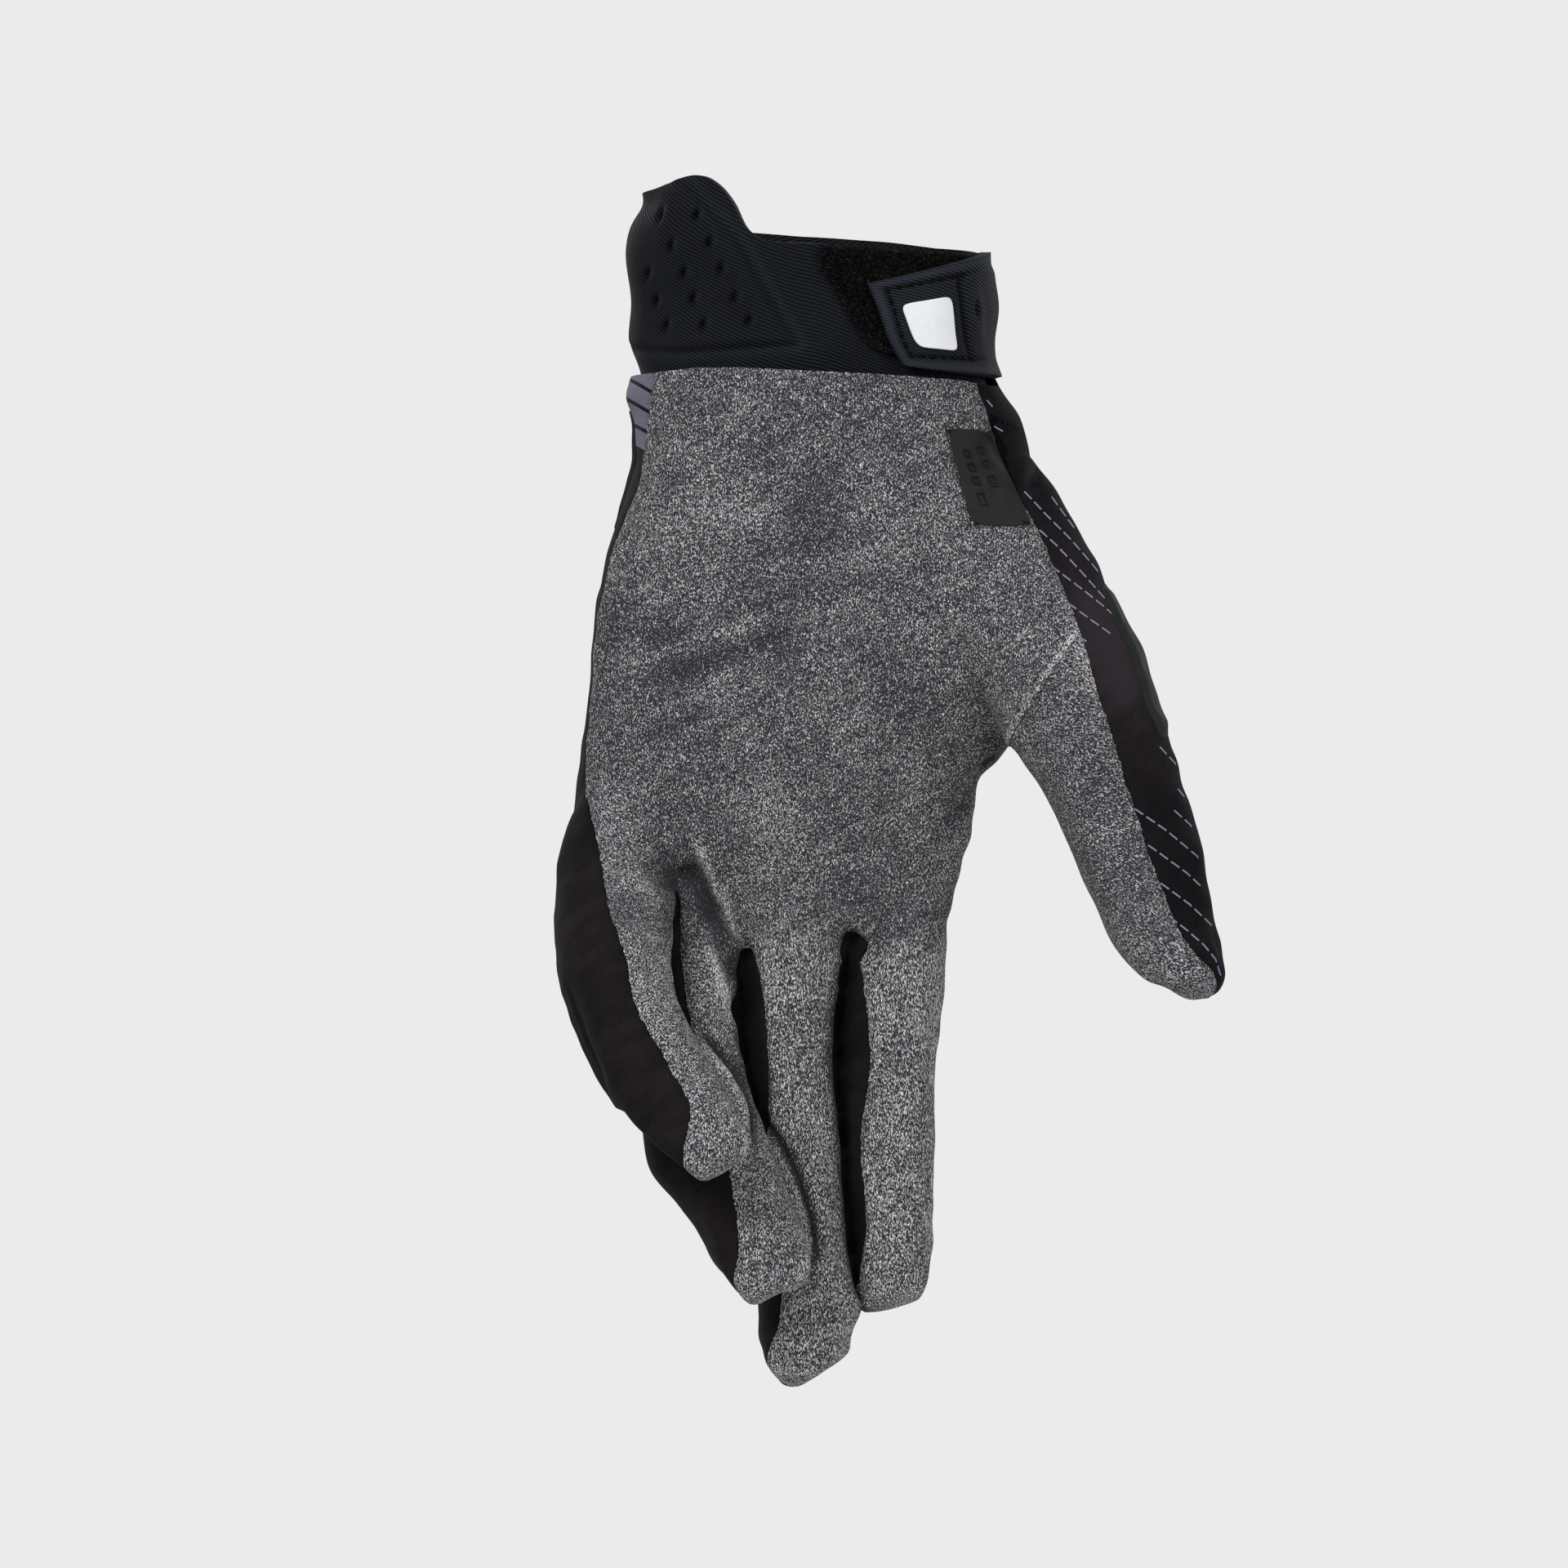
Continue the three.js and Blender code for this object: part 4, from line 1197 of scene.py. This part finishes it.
def drop(surface, start, way, lift):
    """Where a ray from start meets the surface, moved back towards start by lift."""
    way = Vector(way).normalized()
    hit = surface.ray_cast(Vector(start), way)[0]
    return hit - way * lift if hit is not None else Vector(start)


glove_surface = surface_of(palm_panel, thumb_front, back_panel, thumb_back)

finished(palm_panel, SUEDE, ["palm_panel"])
finished(thumb_front, THUMB_SUEDE, ["thumb_front_panel"])
finished(back_panel, JERSEY, ["back_panel"])
finished(thumb_back, JERSEY, ["thumb_back_panel"])
bpy.data.objects.remove(skin)


# The cuff


def set_cloth_uv(obj, values):
    """Stores cloth coordinates in millimetres, one pair for each vertex."""
    layer = obj.data.uv_layers.get("cloth") or obj.data.uv_layers.new(name="cloth")
    loops = np.empty(len(obj.data.loops), int)
    obj.data.loops.foreach_get("vertex_index", loops)
    layer.data.foreach_set("uv", np.asarray(values)[loops].ravel())


def front_spots(points):
    """Where points are in the photograph's pixels."""
    return points[:, 0] * PHOTO_SCALE + PHOTO_X, PHOTO_Z - points[:, 2] * PHOTO_SCALE


def line_side(x, y, first, last):
    """Distance in pixels to the left of the line from first to last."""
    run = np.array(last, float) - first
    run /= np.hypot(*run)
    return (x - first[0]) * run[1] - (y - first[1]) * run[0]


# Outline of the raised pad on the cuff's flap, and its dents, in the photograph's pixels
PAD_EDGE = [
    (848, 236), (868, 240), (904, 303), (942, 348), (990, 404), (972, 424), (830, 432), (760, 424),
]
DENTS = [
    (812, 268), (854, 268), (824, 305), (869, 301), (796, 338), (838, 338), (883, 333),
    (806, 371), (849, 369), (900, 368), (817, 401), (862, 401), (917, 397),
]


def cuff_relief(points):
    """Raised pad with its dents on the flap's front: height in millimetres, and painted light and shade: a
    light band outside the pad's edge, shade just inside it and over its middle, shade in each dent and a
    highlight to its right.
    """
    x, y = front_spots(points)
    front = smooth(-points[:, 1], 2, 5)
    edge = np.min([-line_side(x, y, a, b) for a, b in zip(PAD_EDGE[:-1], PAD_EDGE[1:])], 0)
    pad = 0.8 * smooth(edge, -5, 9) - 0.2 * np.exp(-(((edge + 4) / 3) ** 2))
    painted_shading = 0.7 * np.exp(-(((edge + 9) / 6) ** 2)) - 0.3 * np.exp(-(((edge - 1) / 4) ** 2))
    painted_shading = painted_shading - 0.25 * smooth(edge, 8, 30)
    dents = np.zeros(len(points))
    for dx, dy in DENTS:
        dip = np.exp(-(((x - dx + (y - dy) * 0.25) / 3.3) ** 2 + ((y - dy) / 7) ** 2))
        rise = np.exp(-(((x - dx - 8) / 4.5) ** 2 + ((y - dy) / 8) ** 2))
        dents += dip - 0.45 * rise
        painted_shading = painted_shading - 1.5 * dip + 0.9 * rise
    return front * (pad - 1.3 * dents), np.clip(front * painted_shading, -1.3, 1.2)


# Where the cuff's outline is let out or taken in: place in the photograph, reach and amount in millimetres
CUFF_EASES = [((774, 400), 7, 1.0), ((784, 246), 4, -1.4), ((790, 236), 2, 0.6)]

# Faces round and up the cuff, the length of its cloth round it, and the share of its height that is
# tucked under the palm
CUFF_CELLS = (420, 88)
CUFF_GIRTH = 190
CUFF_TUCK = 0.12


def cuff_place(u, v):
    """A point on the cuff: u round it from the back, v from its tucked edge to its rim."""
    around = -180 + 360 * u
    up = -CUFF_TUCK + (curve(RIM_ROWS, 1, around) + CUFF_TUCK) * v
    points = on_cuff(around, np.maximum(up, 0), 0)
    lip = palm.place(np.maximum(-up, 0) * CUFF_HEIGHT / PALM_LENGTH, around, SEWN_LIFT)
    return np.where((up < 0)[:, None], lip, points)


def make_cuff():
    obj = wrapped_grid("cuff", *CUFF_CELLS, cuff_place)
    u, v = grid_shares(obj, *CUFF_CELLS)
    height = (curve(RIM_ROWS, 1, -180 + 360 * u) + CUFF_TUCK) * CUFF_HEIGHT
    set_cloth_uv(obj, np.stack([u * CUFF_GIRTH, v * height], -1))
    apply(obj, "WELD", merge_threshold=0.01)
    points, out = coords(obj), normals(obj)
    if dot(out, points * [1, 1, 0]).mean() < 0:
        obj.data.flip_normals()
        out = -out
    relief, painted_shading = cuff_relief(points)
    lift = relief + 0.2 * waves(points, 11, 20, 16) * smooth(points[:, 2], -27, -20)
    lift = eased(lift, points, out, CUFF_EASES)
    set_coords(obj, points + out * lift[:, None])
    store(obj, {"fold": painted_shading})
    apply(obj, "SOLIDIFY", thickness=CUFF_WALL, offset=-1, use_even_offset=True)
    apply(obj, "BEVEL", width=0.8, segments=3, limit_method="ANGLE", angle_limit=60 * DEG)
    return obj


cuff = finished(make_cuff(), RIB, ["cuff"])


def slab(name, across, down, place, thickness, bevel, dress=None):
    """A sheet on a surface, which dress may colour, given its thickness inwards and rounded edges."""
    obj = wrapped_grid(name, across, down, place)
    if dress:
        dress(obj, *grid_shares(obj, across, down))
    points, out = coords(obj), normals(obj)
    centre = np.array([points[:, 0].mean() * 0.3, 0, points[:, 2].mean()])
    if dot(out, points - centre).mean() < 0:
        obj.data.flip_normals()
    apply(obj, "SOLIDIFY", thickness=thickness, offset=-1)
    apply(obj, "BEVEL", width=bevel, segments=3, limit_method="ANGLE", angle_limit=50 * DEG)
    return obj


# The strap's sizes in millimetres, the loop pad's lift off the cuff and its height under the strap
STRAP_LENGTH = 84
STRAP_WIDTH = 21
STRAP_THICK = 2.1
LOOP_LIFT = GAP
LOOP_HEIGHT = 0.9

# The strap's stitches, in millimetres: inset from its edge, how far they run from its tab's end, start,
# pitch and length, radius, rise of the middle, and how far the ends are sunk
STITCH_INSET = 2.6
STITCH_END = 20
STITCH_START = 0.8
STITCH_PITCH = 2.35
STITCH_LENGTH = 1.75
STITCH_RADIUS = 0.34
STITCH_RISE = 0.25
STITCH_SINK = 0.35


def strap_lift(raised):
    return GAP + (LOOP_LIFT + LOOP_HEIGHT) * raised + STRAP_THICK


def strap_spot(u, v):
    """Angle, share up the cuff and lift for a place on the strap: u from low to high, v from the tab."""
    first, last = STRAP_ROWS[0][0], STRAP_ROWS[-1][0]
    around = first + STRAP_TAB_SLANT * (1 - u) * (1 - v) + (last - first) * v
    low, high, raised = (curve(STRAP_ROWS, k, around) for k in (1, 2, 3))
    return around, low + (high - low) * u, raised


def strap_relief(u, v):
    """Hem, stitched channel, swell and groove of the strap: height in millimetres, and painted light and
    shade, lighter on the hem, swell and bulge and darker in the channel, groove and dent.
    """
    along = v * STRAP_LENGTH
    edge = np.minimum(np.minimum(u, 1 - u) * STRAP_WIDTH, along)
    channel = np.exp(-(((edge - STITCH_INSET) / 0.5) ** 2)) * smooth(along, 26, 18)
    swell = np.exp(-(((along - 9.5) / 8) ** 2 + ((u - 0.55) / 0.36) ** 2))
    groove = np.exp(-(((along - 18.5) / 0.9) ** 2)) * smooth(0.5 - np.abs(u - 0.5), 0.1, 0.2)
    bulge = np.exp(-(((along - 23) / 2.6) ** 2 + ((u - 0.5) / 0.3) ** 2))
    dent = np.exp(-(((along - 23) / 0.8) ** 2 + ((u - 0.55) / 0.07) ** 2))
    hem_highlight = np.exp(-(((edge - 0.8) / 0.7) ** 2)) * smooth(along, 60, 30)
    side = np.exp(-(((along - 40) / 9) ** 2))
    drawn = side * (1.3 * np.exp(-(((u - 0.55) / 0.22) ** 2)) + 0.7 * smooth(u, 0.16, 0))
    drawn = drawn - 0.7 * side * smooth(u, 0.82, 0.92)
    height = 0.5 * swell - 0.45 * channel - 0.9 * groove + 0.5 * bulge - 1.0 * dent + drawn
    return height, 0.3 * swell - 0.6 * channel - 1.0 * groove - 1.2 * dent + 1.3 * hem_highlight + 0.4 * bulge


def strap_place(u, v):
    around, up, raised = strap_spot(u, v)
    return on_cuff(around, up, strap_lift(raised) + strap_relief(u, v)[0])


def strap_dress(obj, u, v):
    """Stores the strap's cloth coordinates and its painted light and shade."""
    set_cloth_uv(obj, np.stack([v * STRAP_LENGTH, u * STRAP_WIDTH], -1))
    store(obj, {"fold": strap_relief(u, v)[1]})


strap = slab("closure_strap", 64, 280, strap_place, STRAP_THICK, 0.5, strap_dress)
strap_surface = surface_of(strap)
finished(strap, STRAP_RIB, ["closure_strap"])


# Badge: its corners as angle round the cuff and share up it, its thickness, and its lift off the strap
BADGE_CORNERS = [(24.4, 0.52), (44.4, 0.59), (46.8, 0.175), (30.0, 0.2)]
BADGE_THICK = 0.7
BADGE_LIFT = 0.75


def badge_place(u, v):
    around, up = between(BADGE_CORNERS, *rounded(u, v, (0.17, 8), (0.17, 8)))
    spot = on_cuff(around, up, 10)
    inner = on_cuff(around, up, 0)
    return np.array([drop(strap_surface, p, q - p, BADGE_LIFT) for p, q in zip(spot, inner)])


badge = slab("badge", 24, 24, badge_place, BADGE_THICK, 0.25)
finished(badge, WHITE, ["badge"])


# Loop pad: a thin base with curled fibres

# Height of the pad's base and of its fibres' feet over LOOP_LIFT, in millimetres
BASE_TOP = 0.45
FIBRE_FOOT = 0.35

# Fibres: how many, their radius in millimetres, and the rings and sides of each
FIBRES = 3600
FIBRE_RADIUS = 0.065
FIBRE_RINGS = 6
FIBRE_SIDES = 3


def loop_spot(u, v):
    around = LOOP_ROWS[0][0] + (LOOP_ROWS[-1][0] - LOOP_ROWS[0][0]) * v
    low, high = (curve(LOOP_ROWS, k, around) for k in (1, 2))
    return around, low + (high - low) * u


def loop_base(u, v):
    around, up = loop_spot(u, v)
    points = on_cuff(around, up, LOOP_LIFT + BASE_TOP)
    return points + (0.12 * waves(points, 21, 30, 2.2))[:, None] * np.array([0, -1, 0])


def fibre_field(count):
    """Many small curled loops of fibre standing on the pad, as one mesh."""
    u, v = rng.uniform(0.01, 0.99, count), rng.uniform(0.0, 1, count) ** 1.3
    around, up = loop_spot(u, v)
    foot = on_cuff(around, up, LOOP_LIFT + FIBRE_FOOT)
    out = on_cuff(around, up, 2) - foot
    out /= np.linalg.norm(out, axis=1, keepdims=True)
    spin = rng.normal(size=(count, 3))
    side = np.cross(out, spin)
    side /= np.linalg.norm(side, axis=1, keepdims=True)
    across = np.cross(side, out)
    size = rng.uniform(0.35, 0.9, count)
    tall = rng.uniform(0.4, 1.15, count)
    points = []
    for s in np.linspace(0, 1, FIBRE_RINGS):
        along = side * (size * math.cos(math.pi * s))[:, None]
        high = out * (tall * math.sin(math.pi * s))[:, None]
        centre = foot + along + high
        for k in range(FIBRE_SIDES):
            a = 2 * math.pi * k / FIBRE_SIDES
            way = across * math.cos(a) + out * math.sin(a)
            points.append(centre + way * FIBRE_RADIUS)
    points = np.stack(points, 1).reshape(-1, 3)
    return new_object("loop_fibres", points, tube_faces(count, FIBRE_RINGS, FIBRE_SIDES))


loop_pad = slab("loop_pad", 30, 60, loop_base, 0.5, 0.1)
loop_fibres = fibre_field(FIBRES)
loop_pad = joined([loop_pad, loop_fibres], "loop_pad")
finished(loop_pad, PILE, ["loop_pad"], 60)


# Stitches

STITCH_RINGS = 7
STITCH_SIDES = 6


def stitches(name, spots):
    """Short thread capsules at these spots: each has a centre, a direction and an outward way."""
    points = []
    for centre, run, out in spots:
        side = run.cross(out).normalized()
        for s in np.linspace(0, 1, STITCH_RINGS):
            bow = math.sin(math.pi * s)
            middle = centre + run * (s - 0.5) * STITCH_LENGTH + out * (STITCH_RISE * bow)
            wide = STITCH_RADIUS * (0.45 + 0.55 * bow**0.5)
            for k in range(STITCH_SIDES):
                a = 2 * math.pi * k / STITCH_SIDES
                points.append(middle + (side * math.cos(a) + out * math.sin(a)) * wide)
    faces = tube_faces(len(spots), STITCH_RINGS, STITCH_SIDES)
    for n in range(len(spots)):
        first = n * STITCH_RINGS * STITCH_SIDES
        last = first + (STITCH_RINGS - 1) * STITCH_SIDES
        faces.append(tuple(first + k for k in reversed(range(STITCH_SIDES))))
        faces.append(tuple(last + k for k in range(STITCH_SIDES)))
    return new_object(name, points, faces)


def strap_stitches():
    """A line of stitches just inside the strap's edge."""
    low, high = STITCH_INSET / STRAP_WIDTH, 1 - STITCH_INSET / STRAP_WIDTH
    near, far = STITCH_INSET / STRAP_LENGTH, STITCH_END / STRAP_LENGTH
    path = [(high, v) for v in np.linspace(far, near, 12)]
    path += [(u, near) for u in np.linspace(high, low, 30)]
    path += [(low, v) for v in np.linspace(near, far, 12)]
    around, up, raised = strap_spot(*np.array(path).T)
    points = on_cuff(around, up, strap_lift(raised) - STITCH_SINK)
    outward = on_cuff(around, up, strap_lift(raised) + 1) - points
    gaps = np.linalg.norm(np.diff(points, axis=0), axis=1)
    run_length = np.concatenate([[0], np.cumsum(gaps)])

    def at(s, values):
        return Vector([np.interp(s, run_length, values[:, k]) for k in range(3)])

    spots = []
    for s in np.arange(STITCH_START, run_length[-1], STITCH_PITCH):
        centre = at(s, points)
        run = at(s + 0.3, points) - centre
        spots.append((centre, run.normalized(), at(s, outward).normalized()))
    return stitches("strap_stitches", spots)


finished(strap_stitches(), THREAD, (), 60)


# Rubber patches on the hand

# A distance in front of the glove, in millimetres, and the way from there to the glove
FAR = 60
INWARDS = Vector((0, 1, 0))

# Grip patch: faces across and down, corners in the photograph's pixels, and lift off the glove. Each bar
# has its place across, its start and its length down the patch, as shares
GRIP_CELLS = (90, 150)
GRIP_CORNERS = [(1209, 529), (1263, 646), (1189, 645), (1158, 528)]
GRIP_LIFT = 0.85
GRIP_BARS = [
    (0.3, 0.2, 0.1), (0.3, 0.34, 0.1), (0.3, 0.48, 0.1), (0.3, 0.64, 0.16),
    (0.62, 0.16, 0.1), (0.62, 0.3, 0.1), (0.62, 0.46, 0.14),
]


def grip_place(u, v):
    """The patch at the heel of the thumb, with plain raised bars in two rows."""
    bars = np.zeros(len(u))
    for row, start, length in GRIP_BARS:
        reach = np.maximum(np.abs(u - row) / 0.075, np.abs(v - start - length / 2) / (length / 2))
        bars += smooth(reach, 1.0, 0.8) - smooth(reach, 0.7, 0.5)
    across, up = between([mm(*p) for p in GRIP_CORNERS], *rounded(u, v, (0.3, 12), (0.13, 8)))
    spots = [Vector((x, -FAR, z)) for x, z in zip(across, up)]
    points = np.array([drop(glove_surface, spot, INWARDS, GRIP_LIFT) for spot in spots])
    depth = points[:, 1].reshape(GRIP_CELLS[1] + 1, GRIP_CELLS[0] + 1)
    for _ in range(40):
        padded = np.pad(depth, 1, "edge")
        depth = (padded[:-2, 1:-1] + padded[2:, 1:-1] + padded[1:-1, :-2] + padded[1:-1, 2:]) / 4
    points[:, 1] = depth.ravel() - 0.5 * bars
    return points


grip = slab("grip_patch", *GRIP_CELLS, grip_place, 1.0, 0.3)
finished(grip, RUBBER, ["grip_patch"])


# Patches on the sides of limbs: faces across and down, and how far they are sunk in the cloth. Their
# corners are angles round the limb in degrees and shares down it
PATCH_CELLS = (40, 60)
PATCH_SINK = 0.15
THUMB_GUARD = [(60, 0.318), (140, 0.33), (140, 0.53), (55, 0.59)]
HAND_GUARD = [(-155, 0.05), (-96, 0.045), (-95, 0.27), (-155, 0.32)]
LITTLE_PAD = [(-170, 0.36), (-98, 0.38), (-88, 0.74), (-150, 0.76)]


def limb_patch(name, limb, corners, thickness, taper=0.04):
    """A moulded patch on one side of a limb, with rounded corners and a sloped edge."""

    def place(u, v):
        edge = np.minimum(1 - np.abs(2 * u - 1), 1 - np.abs(2 * v - 1))
        around, t = between(corners, *rounded(u, v, (0.14, 6), (0.14, 6)))
        far, near = limb.place(t, around, 12), limb.place(t, around, -2)
        rise = (thickness - PATCH_SINK) * (0.15 + 0.85 * smooth(edge, 0, taper))
        return np.array([drop(glove_surface, p, q - p, k) for p, q, k in zip(far, near, rise)])

    return slab(name, *PATCH_CELLS, place, thickness, 0.25)


thumb_guard = limb_patch("thumb_guard", thumb, THUMB_GUARD, 1.0, 0.16)
finished(thumb_guard, RUBBER, ["thumb_guard"])
hand_guard = limb_patch("hand_edge_guard", palm, HAND_GUARD, 1.2)
finished(hand_guard, RUBBER, ["hand_edge_guard"])
little_pad = limb_patch("little_finger_pad", little, LITTLE_PAD, 0.7, 0.3)
finished(little_pad, JERSEY, ["little_finger_pad"])


# Lavender dashes printed on the jersey: each row's path in the photograph's pixels
DASH_LINES = [
    [(1207, 492), (1214, 500)],
    [(1216, 524), (1229, 531)],
    [(1253, 604), (1277, 630), (1310, 663), (1340, 698), (1364, 736)],
    [(1286, 610), (1315, 650), (1340, 690), (1353, 712)],
    [(1271, 651), (1292, 670), (1320, 700), (1350, 734), (1375, 765)],
    [(1285, 695), (1325, 725), (1350, 745), (1375, 767)],
    [(1305, 740), (1332, 760), (1362, 781)],
    [(1317, 780), (1330, 789)],
    [(1416, 915), (1434, 934), (1448, 951)],
    [(1438, 966), (1454, 986), (1461, 996)],
    [(1433, 992), (1452, 1009), (1468, 1028)],
    [(1385, 990), (1424, 1017), (1460, 1047), (1474, 1064)],
    [(1401, 1034), (1448, 1068), (1465, 1084)],
    [(1416, 1080), (1450, 1105), (1483, 1136)],
    [(1426, 1120), (1450, 1139), (1468, 1155), (1482, 1172), (1488, 1190), (1492, 1200)],
    [(1459, 1184), (1466, 1200), (1473, 1211)],
]

# Dashes, in millimetres: pitch, length, half width, the shortest rest of a row that takes one, and lift.
# Then the Y of the cloth's normal over which a dash is left out, and the places along a dash
DASH_PITCH = 2.85
DASH = 2.05
DASH_HALF = 0.15
DASH_REST = 0.6
DASH_LIFT = 0.07
DASH_SIDE = -0.26
DASH_STEPS = 9


def dash_print():
    """Thin flat strips just above the jersey."""
    points, faces = [], []
    for path in DASH_LINES:
        knots = np.array([mm(*p) for p in path])
        gaps = np.linalg.norm(np.diff(knots, axis=0), axis=1)
        length = np.concatenate([[0], np.cumsum(gaps)])
        for start in np.arange(0, length[-1] - DASH_REST, DASH_PITCH):
            places = np.linspace(start, min(start + DASH, length[-1]), DASH_STEPS)
            line = np.stack([np.interp(places, length, knots[:, k]) for k in (0, 1)], -1)
            run = np.gradient(line, axis=0)
            run /= np.linalg.norm(run, axis=1, keepdims=True)
            side = np.stack([-run[:, 1], run[:, 0]], -1) * DASH_HALF
            spots = np.stack([line - side, line + side], 1).reshape(-1, 2)
            hits = [glove_surface.ray_cast(Vector((x, -FAR, z)), INWARDS) for x, z in spots]
            if any(hit[0] is None or hit[1].y > DASH_SIDE for hit in hits):
                continue
            firsts = range(len(points), len(points) + 2 * (DASH_STEPS - 1), 2)
            points += [hit[0] + hit[1] * DASH_LIFT for hit in hits]
            faces += [(i, i + 1, i + 3, i + 2) for i in firsts]
    return new_object("jersey_print", points, faces)


finished(dash_print(), PRINT)


# Stage, lights and camera

# The floor's radius and its distance under the glove, in metres, and where it fades out, in millimetres
FLOOR_RADIUS = 0.6
FLOOR_DROP = 0.07
FLOOR_FADE = (120, 400)

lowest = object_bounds()[0].z
bpy.ops.mesh.primitive_circle_add(
    vertices=128,
    radius=FLOOR_RADIUS,
    fill_type="NGON",
    location=(0.01, 0, lowest - FLOOR_DROP),
)
floor = bpy.context.object
floor.name = "floor"
floor_material, floor_shader, floor_place = material("floor", 0.9)
BACKGROUND = linear(235, 235, 235)
floor_shader.inputs["Base Color"].default_value = (*BACKGROUND, 1)
reach = floor_place.node(
    "ShaderNodeVectorMath", {0: floor_place}, output=1, operation="LENGTH"
)
link(floor_shader, "Alpha", reach.ramp(*FLOOR_FADE, 1, 0))
floor.data.materials.append(floor_material)

scene = bpy.context.scene
scene.view_settings.view_transform = "Standard"
world = bpy.data.worlds.new("studio")
world.use_nodes = True
scene.world = world
tree = world.node_tree
shown = tree.nodes["Background"]
shown.inputs["Color"].default_value = (*BACKGROUND, 1)
lit = tree.nodes.new("ShaderNodeBackground")
lit.inputs["Color"].default_value = (1, 1, 1, 1)
lit.inputs["Strength"].default_value = 0.3
path = tree.nodes.new("ShaderNodeLightPath")
mix = tree.nodes.new("ShaderNodeMixShader")
tree.links.new(path.outputs["Is Camera Ray"], mix.inputs[0])
tree.links.new(lit.outputs[0], mix.inputs[1])
tree.links.new(shown.outputs[0], mix.inputs[2])
tree.links.new(mix.outputs[0], tree.nodes["World Output"].inputs[0])


# Lights: name, place and size in metres, and power in watts. They all look at AIM
LIGHTS = [
    ("key", (-0.75, -1.0, 0.75), 0.7, 17),
    ("fill", (0.9, -1.1, 0.2), 0.9, 8),
    ("back_left", (-0.8, 0.9, 0.5), 0.9, 7),
    ("back_right", (0.9, 0.9, 0.4), 0.9, 5),
]
AIM = Vector((0, 0, -0.11))

for name, place, size, power in LIGHTS:
    data = bpy.data.lights.new(name, "AREA")
    data.shape, data.size, data.energy = "DISK", size, power
    obj = bpy.data.objects.new(name, data)
    bpy.context.collection.objects.link(obj)
    obj.location = place
    obj.rotation_euler = (AIM - Vector(place)).to_track_quat("-Z", "Y").to_euler()

# The camera, in millimetres: width of its view at the glove, distance, and width of its sensor. It looks
# at the middle of the photograph, which is given in pixels
FRAME_WIDTH = 320
DISTANCE = 2500
SENSOR = 36
PHOTO_MIDDLE = (960, 960)

camera_data = bpy.data.cameras.new("camera")
camera_data.sensor_width = SENSOR
camera_data.lens = SENSOR * DISTANCE / FRAME_WIDTH
camera = bpy.data.objects.new("camera", camera_data)
bpy.context.collection.objects.link(camera)
camera_x, camera_z = mm(*PHOTO_MIDDLE)
camera.location = (camera_x * MM, -DISTANCE * MM, camera_z * MM)
camera.rotation_euler = (90 * DEG, 0, 0)
scene.camera = camera
